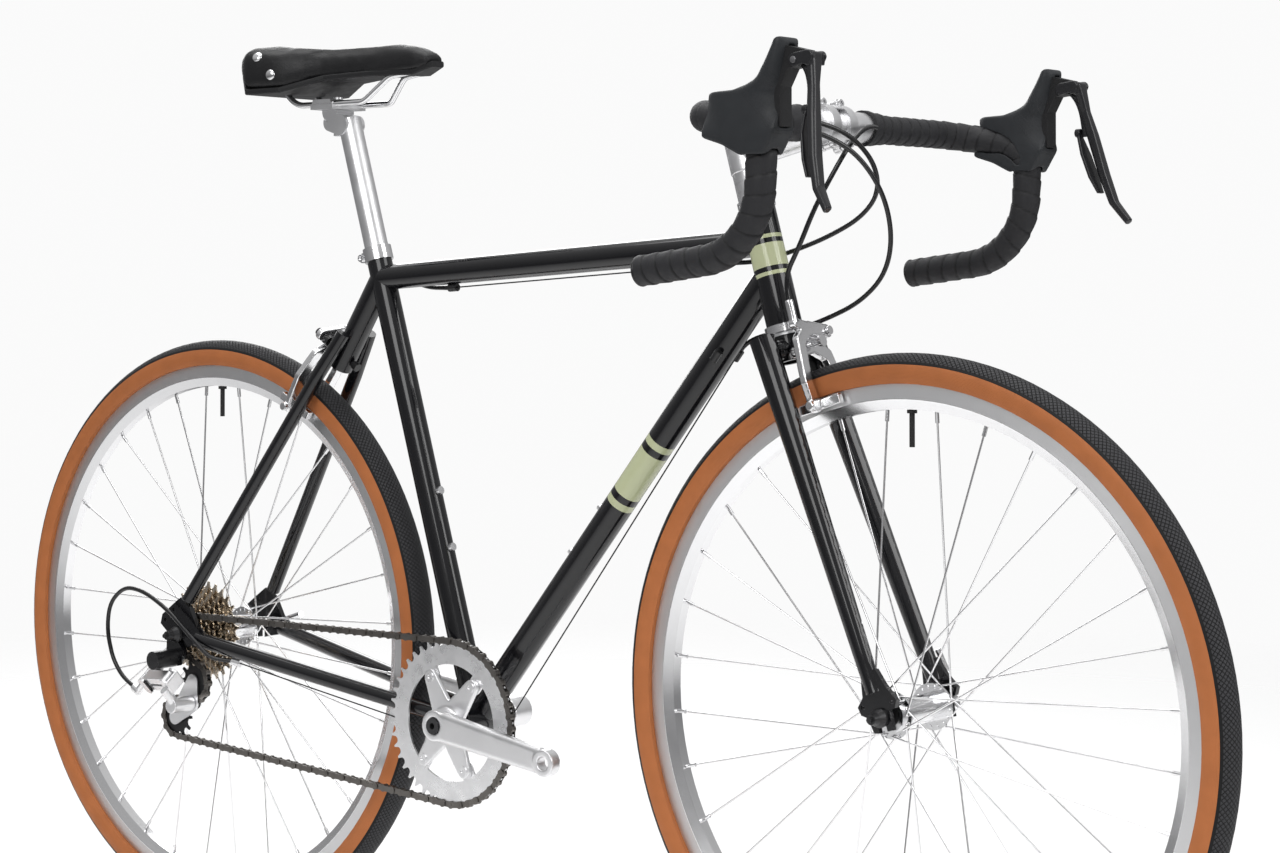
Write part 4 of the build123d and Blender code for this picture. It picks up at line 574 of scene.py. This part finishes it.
def line_points(curve):
    """The points along a curve that has no thickness, as an array."""
    evaluated = curve.evaluated_get(bpy.context.evaluated_depsgraph_get())
    mesh = bpy.data.meshes.new_from_object(evaluated)
    points = np.array([vertex.co for vertex in mesh.vertices])
    bpy.data.meshes.remove(mesh)
    return points


class BICYCLE_OT_bar_tape(bpy.types.Operator):
    """Wrap both halves of the bar in overlapping laps of tape, with a plug in each end"""
    bl_idname = "bicycle.bar_tape"
    bl_label = "Wrap Bar Tape"

    def execute(self, context):
        settings = context.scene.bicycle
        cloth = tape_cloth("tape_cloth", tuple(settings.tape))
        plug_black = grained("plug_plastic", (0.014, 0.014, 0.015), 0.3, 0.4, 0.0, 0.2, 1500, 0.00005)
        for side, hand in ((1, "left"), (-1, "right")):
            route = [Vector((0.400, side * 0.056, 0.921)), Vector((0.400, side * 0.222, 0.921)),
                     Vector((0.490, side * 0.232, 0.906)), Vector((0.484, side * 0.231, 0.792)),
                     Vector((0.346, side * 0.230, 0.775))]
            line = rounded_line(f"bar_tape_{hand}", route, (0.038, 0.035, 0.074))
            bpy.context.view_layer.update()
            points = line_points(line)
            steps = np.linalg.norm(np.diff(points, axis=0), axis=1)
            run = np.concatenate([[0], np.cumsum(steps)])
            count = int(run[-1] / 0.0011)
            even = np.linspace(0, run[-1], count)
            path = np.stack([np.interp(even, run, points[:, axis]) for axis in range(3)], axis=1)
            bpy.data.objects.remove(line)
            around = 28
            bpy.ops.mesh.primitive_grid_add(x_subdivisions=around, y_subdivisions=count - 1, size=1)
            tape = bpy.context.object
            tape.name = f"bar_tape_{hand}"
            column = np.array([vertex.co[:] for vertex in tape.data.vertices])
            row = np.rint((column[:, 1] + 0.5) * (count - 1)).astype(int)
            turn = (column[:, 0] + 0.5) * math.tau
            ahead = np.gradient(path, axis=0)
            ahead /= np.linalg.norm(ahead, axis=1)[:, None]
            normal = np.zeros_like(ahead)
            normal[0] = np.cross(ahead[0], (0, 0, 1))
            for number in range(1, count):
                level = normal[number - 1] - ahead[number] * np.dot(normal[number - 1], ahead[number])
                normal[number] = level / np.linalg.norm(level)
            binormal = np.cross(ahead, normal)
            lap = (even[row] / settings.lap_width + side * turn / math.tau) % 1.0
            # edge is 0 at each lap's edge, where the tape gets painted shade, and 1 across the lap's middle,
            # where it gets painted light.
            edge = np.clip(lap / 0.12, 0, 1) * np.clip((1 - lap) / 0.05, 0, 1)
            swell = 0.012 * np.sin(even[row] * 310) + 0.02 * np.sin(even[row] * 87 + 1.3)
            body = np.where(even[row] < 0.041, 0.0155 + (0.041 - even[row]) / 0.041 * 0.0036, 0.0152)
            body = body * (1 + swell * 0.35)
            radius = body - settings.lap_step * (lap * 0.95 + (1 - edge) * 0.75)
            place = path[row] + radius[:, None] * (np.cos(turn)[:, None] * normal[row] +
                                                   np.sin(turn)[:, None] * binormal[row])
            tape.data.vertices.foreach_set("co", place.astype(np.float32).ravel())
            # The lap attribute carries that painted shade and painted light into the tape's colour.
            shade = tape.data.attributes.new("lap", "FLOAT", "POINT")
            shade.data.foreach_set("value", edge.astype(np.float32))
            tape.data.update()
            select_only(tape)
            bpy.ops.object.mode_set(mode="EDIT")
            bpy.ops.mesh.select_all(action="SELECT")
            bpy.ops.mesh.remove_doubles(threshold=0.00002)
            bpy.ops.mesh.select_all(action="DESELECT")
            bpy.ops.mesh.select_non_manifold()
            bpy.ops.mesh.edge_face_add()
            bpy.ops.mesh.select_all(action="SELECT")
            bpy.ops.mesh.normals_make_consistent(inside=False)
            bpy.ops.object.mode_set(mode="OBJECT")
            smooth_faces(tape, 50)
            dress(tape, cloth)
            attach(tape, "steering")
            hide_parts("bar_tape")
            out = (route[-1] - route[-2]).normalized()
            bpy.ops.object.select_all(action="DESELECT")
            bpy.ops.mesh.primitive_uv_sphere_add(segments=40, ring_count=20, radius=0.0150,
                                                 location=route[-1] + out * 0.0005)
            plug = bpy.context.object
            plug.name = f"bar_end_plug_{hand}"
            plug.rotation_euler = out.to_track_quat("Z", "Y").to_euler()
            plug.scale = (1, 1, 0.3)
            apply_place(plug)
            smooth_faces(plug)
            dress(plug, plug_black)
            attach(plug, "steering")
        return {"FINISHED"}


class BICYCLE_OT_hoods(bpy.types.Operator):
    """Mould the rubber hoods, the brake blades and the shift paddles"""
    bl_idname = "bicycle.hoods"
    bl_label = "Mould Hoods and Levers"

    def execute(self, context):
        rubber = ribbed_rubber("hood_rubber", (0.024, 0.026, 0.029))
        satin = grained("lever_satin", (0.013, 0.013, 0.015), 0.3, 0.42, 0.0, 0.3, 1500, 0.00004)
        cast_copy("lever_hoods", "lever_hoods_moulded", 0.0016, 26, rubber, 0.8, round_horns)
        for hand in ("left", "right"):
            for node, voxel, passes in ((f"brake_lever_{hand}", 0.0008, 10), (f"shift_paddle_{hand}", 0.0006, 6)):
                cast_copy(node, f"{node}_cast", voxel, passes, satin, 0.6)
        steel = grained("screw_steel", (0.30, 0.30, 0.31), 0.25, 0.35, 1.0)
        for side, hand in ((1, "left"), (-1, "right")):
            stalk = housing(f"shift_stalk_{hand}", [Vector((0.538, side * 0.236, 0.962)),
                                                    Vector((0.544, side * 0.237, 0.956)),
                                                    Vector((0.549, side * 0.239, 0.944)),
                                                    Vector((0.551, side * 0.241, 0.930)),
                                                    Vector((0.552, side * 0.2425, 0.915))], 0.0034, satin)
            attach(stalk, body_of_node[f"shift_paddle_{hand}"])
            bpy.ops.object.select_all(action="DESELECT")
            bpy.ops.mesh.primitive_cylinder_add(vertices=32, radius=0.0032, depth=0.0012,
                                                location=(0.534, side * 0.2455, 0.964),
                                                rotation=(math.pi / 2, 0, 0))
            screw = bpy.context.object
            screw.name = f"pivot_screw_{hand}"
            bevel = screw.modifiers.new("Worn edge", "BEVEL")
            bevel.width = 0.0003
            bevel.segments = 2
            apply_modifiers(screw)
            apply_place(screw)
            smooth_faces(screw, 40)
            dress(screw, steel)
            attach(screw, f"{hand}_lever")
        return {"FINISHED"}


def swell(piece, pressure, cap):
    """Puffs a closed skin up with air as cloth, moving no point further than the cap."""
    before = np.array([vertex.co for vertex in piece.data.vertices])
    cloth = piece.modifiers.new("Padding", "CLOTH")
    cloth.settings.quality = 6
    cloth.settings.mass = 0.3
    cloth.settings.tension_stiffness = 30
    cloth.settings.compression_stiffness = 30
    cloth.settings.bending_stiffness = 2
    cloth.settings.use_pressure = True
    cloth.settings.uniform_pressure_force = pressure
    cloth.settings.effector_weights.gravity = 0
    cloth.point_cache.frame_start = 1
    cloth.point_cache.frame_end = 20
    for step in range(1, 21):
        bpy.context.scene.frame_set(step)
    select_only(piece)
    bpy.ops.object.modifier_apply(modifier=cloth.name)
    bpy.context.scene.frame_set(1)
    after = np.array([vertex.co for vertex in piece.data.vertices])
    shift = after - before
    length = np.maximum(np.linalg.norm(shift, axis=1), 1e-9)
    shift *= np.minimum(1, cap / length)[:, None]
    piece.data.vertices.foreach_set("co", (before + shift).astype(np.float32).ravel())
    piece.data.update()


class BICYCLE_OT_saddle(bpy.types.Operator):
    """Pad and cover the saddle, and set its rivets"""
    bl_idname = "bicycle.saddle"
    bl_label = "Pad Saddle"

    def execute(self, context):
        colour = (0.011, 0.011, 0.012)
        hide, tree, shader = new_material("saddle_hide", colour, 0.42)
        vary(tree, shader, colour, 0.25, 18)
        vary_roughness(tree, shader, 0.34, 0.48, 30)
        grain = math_node(tree, "ADD", noise(tree, 900, 4),
                          math_node(tree, "MULTIPLY", noise(tree, 260, 2), 0.5))
        raise_by(tree, shader, grain, 0.00025)
        cover = copy_of_node("saddle_cover", "saddle_cover_padded")
        remesh = cover.modifiers.new("Even skin", "REMESH")
        remesh.mode = "VOXEL"
        remesh.voxel_size = 0.0045
        soften = cover.modifiers.new("Rounded edges", "SMOOTH")
        soften.factor = 0.5
        soften.iterations = 10
        apply_modifiers(cover)
        swell(cover, 4.0, context.scene.bicycle.cushion_rise)
        finer = cover.modifiers.new("Finer skin", "SUBSURF")
        finer.levels = finer.render_levels = 1
        apply_modifiers(cover)
        smooth_faces(cover)
        dress(cover, hide)
        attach(cover, "saddle")
        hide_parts("saddle_cover")
        rivet = grained("rivet_steel", (0.75, 0.75, 0.76), 0.12, 0.2, 1.0)
        for number, (x, y, z) in enumerate(((-0.3678, 0.0645, 1.0278), (-0.3678, -0.0645, 1.0278),
                                             (-0.3481, 0.0623, 1.0061), (-0.3481, -0.0623, 1.0061))):
            bpy.ops.object.select_all(action="DESELECT")
            bpy.ops.mesh.primitive_uv_sphere_add(segments=32, ring_count=16, radius=0.0062,
                                                 location=(x, y, z))
            head = bpy.context.object
            head.name = f"saddle_rivet_{number + 1}"
            seat, outward = cover.closest_point_on_mesh(Vector((x, y, z)))[1:3]
            head.location = seat
            head.scale = (1, 1, 0.45)
            head.rotation_euler = outward.to_track_quat("Z", "Y").to_euler()
            apply_place(head)
            smooth_faces(head)
            dress(head, rivet)
            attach(head, "saddle")
        return {"FINISHED"}


def housing(name, points, radius, material):
    """A smooth cable housing along its route."""
    bpy.ops.object.select_all(action="DESELECT")
    bpy.ops.curve.primitive_nurbs_path_add()
    cable = bpy.context.object
    cable.name = name
    spline = cable.data.splines[0]
    spline.points.add(len(points) - len(spline.points))
    for point, place in zip(spline.points, points):
        point.co = (*place, 1)
    spline.order_u = 3
    spline.use_endpoint_u = True
    cable.data.resolution_u = 16
    cable.data.bevel_depth = radius
    cable.data.bevel_resolution = 5
    cable.data.use_fill_caps = True
    cable.location = (0, 0, 0)
    select_only(cable)
    bpy.ops.object.convert(target="MESH")
    cable = bpy.context.object
    turn_outwards(cable)
    smooth_faces(cable, 50)
    dress(cable, material)
    return cable


class BICYCLE_OT_cables(bpy.types.Operator):
    """Run the housings between the bar, the frame's stops and the front brake"""
    bl_idname = "bicycle.cables"
    bl_label = "Run Cables"

    def execute(self, context):
        casing = grained("housing_casing", (0.009, 0.009, 0.010), 0.2, 0.3, 0.0, 0.4, 1500, 0.00002)
        brake = [(0.4194, -0.0544, 0.922), (0.428, -0.034, 0.918), (0.437, -0.006, 0.905), (0.440, 0.022, 0.882),
                 (0.431, 0.042, 0.855), (0.405, 0.050, 0.831), (0.368, 0.046, 0.812), (0.330, 0.036, 0.797),
                 (0.296, 0.022, 0.786), (0.2705, 0, 0.7845), (0.2508, 0, 0.7833)]
        shift = [(0.4184, -0.0544, 0.9124), (0.431, -0.036, 0.906), (0.444, -0.006, 0.886), (0.453, 0.020, 0.850),
                 (0.450, 0.038, 0.808), (0.434, 0.048, 0.772), (0.404, 0.048, 0.745), (0.368, 0.042, 0.728),
                 (0.332, 0.032, 0.715), (0.286, 0.018, 0.7081), (0.2748, 0.018, 0.6944)]
        for name, route in (("rear_brake_housing", brake), ("shift_housing", shift)):
            cable = housing(name, route, 0.0025, casing)
            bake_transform(cable)
            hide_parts("steering_cables")
        front = [(0.4194, 0.0544, 0.921), (0.424, 0.038, 0.922), (0.429, 0.014, 0.916), (0.429, -0.008, 0.900),
                 (0.421, -0.024, 0.872), (0.405, -0.033, 0.838), (0.388, -0.035, 0.800), (0.3661, -0.031, 0.7679),
                 (0.3722, -0.031, 0.7468)]
        cable = housing("front_brake_housing", front, 0.0025, casing)
        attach(cable, "steering")
        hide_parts("front_brake_cable")
        return {"FINISHED"}


class BICYCLE_OT_stage(bpy.types.Operator):
    """Set the pale floor, the soft studio light and the camera"""
    bl_idname = "bicycle.stage"
    bl_label = "Set Stage"

    def execute(self, context):
        scene = context.scene
        bpy.ops.object.select_all(action="DESELECT")
        bpy.ops.mesh.primitive_plane_add(size=14, location=(0, 0, -0.0005))
        floor = bpy.context.object
        floor.name = "studio_floor"
        pale, tree, shader = new_material("studio_floor", (0.93, 0.93, 0.93), 0.9)
        vary(tree, shader, (0.93, 0.93, 0.93), 0.02, 2)
        x, y, z = centred(tree, Vector((0, 0, 0)))[0:3]
        away = math_node(tree, "SQRT", math_node(tree, "ADD", math_node(tree, "MULTIPLY", x, x),
                                                 math_node(tree, "MULTIPLY", y, y)))
        fade = math_node(tree, "MULTIPLY", math_node(tree, "SUBTRACT", 3.2, away), 0.4, True)
        tree.links.new(fade, shader.inputs["Alpha"])
        dress(floor, pale)
        world = bpy.data.worlds.new("studio")
        world.use_nodes = True
        sky = world.node_tree
        plain = sky.nodes["Background"]
        plain.inputs["Color"].default_value = (1, 1, 1, 1)
        plain.inputs["Strength"].default_value = 0.96
        surround = sky.nodes.new("ShaderNodeBackground")
        direction = sky.nodes.new("ShaderNodeTexCoord")
        parts = sky.nodes.new("ShaderNodeSeparateXYZ")
        sky.links.new(direction.outputs["Generated"], parts.inputs[0])
        rise = math_node(sky, "MULTIPLY", math_node(sky, "ADD", parts.outputs[2], 0.25), 0.75, True)
        glow = blend_colour(sky, rise, (0.16, 0.16, 0.165), (1.0, 1.0, 1.0))
        sky.links.new(glow, surround.inputs["Color"])
        surround.inputs["Strength"].default_value = 0.75
        seen = sky.nodes.new("ShaderNodeLightPath")
        both = sky.nodes.new("ShaderNodeMixShader")
        sky.links.new(seen.outputs["Is Camera Ray"], both.inputs[0])
        sky.links.new(surround.outputs[0], both.inputs[1])
        sky.links.new(plain.outputs[0], both.inputs[2])
        sky.links.new(both.outputs[0], sky.nodes["World Output"].inputs["Surface"])
        scene.world = world
        for name, place, aim, size, power in (
                ("key_light", (1.2, -3.2, 2.6), (0, 0, 0.6), 2.2, 60), ("side_light", (3.4, 0.6, 1.9), (0.3, 0, 0.6), 1.8, 40),
                ("top_light", (-0.4, 0.2, 3.4), (0, 0, 0.5), 2.6, 55), ("back_light", (-2.6, 2.2, 2.0), (0, 0, 0.6), 1.6, 30)):
            bpy.ops.object.light_add(type="AREA", location=place)
            lamp = bpy.context.object
            lamp.name = name
            lamp.data.size = size
            lamp.data.energy = power
            lamp.rotation_euler = (Vector(aim) - Vector(place)).to_track_quat("-Z", "Y").to_euler()
        bpy.ops.object.camera_add(location=(1.9517, -2.1896, 0.7585))
        camera = bpy.context.object
        camera.name = "studio_camera"
        camera.rotation_euler = (math.radians(91.153), 0, math.radians(39.369))
        camera.data.lens = 75.41
        camera.data.sensor_width = 36
        camera.data.shift_y = -0.15
        camera.data.dof.use_dof = False
        scene.camera = camera
        scene.view_settings.view_transform = "Standard"
        return {"FINISHED"}


class BICYCLE_PT_panel(bpy.types.Panel):
    """Lists the bicycle's settings and steps"""
    bl_idname = "BICYCLE_PT_panel"
    bl_label = "Road Bicycle"
    bl_space_type = "VIEW_3D"
    bl_region_type = "UI"
    bl_category = "Road Bicycle"

    def draw(self, context):
        settings = context.scene.bicycle
        for field in ("paint", "sidewall", "tread", "alloy", "tape", "lap_width", "lap_step", "cushion_rise"):
            self.layout.prop(settings, field)
        for operator in OPERATORS:
            self.layout.operator(operator.bl_idname)


OPERATORS = (BICYCLE_OT_paint, BICYCLE_OT_metal, BICYCLE_OT_wheels, BICYCLE_OT_castings, BICYCLE_OT_bar_tape,
             BICYCLE_OT_hoods, BICYCLE_OT_saddle, BICYCLE_OT_cables, BICYCLE_OT_stage)
CLASSES = (BicycleSettings, *OPERATORS, BICYCLE_PT_panel)


def register():
    for item in CLASSES:
        bpy.utils.register_class(item)
    bpy.types.Scene.bicycle = bpy.props.PointerProperty(type=BicycleSettings)


def unregister():
    del bpy.types.Scene.bicycle
    for item in reversed(CLASSES):
        bpy.utils.unregister_class(item)


def main():
    register()
    bpy.ops.bicycle.paint()
    bpy.ops.bicycle.metal()
    bpy.ops.bicycle.wheels()
    bpy.ops.bicycle.castings()
    bpy.ops.bicycle.bar_tape()
    bpy.ops.bicycle.hoods()
    bpy.ops.bicycle.saddle()
    bpy.ops.bicycle.cables()
    bpy.ops.bicycle.stage()


if __name__ == "__main__":
    main()
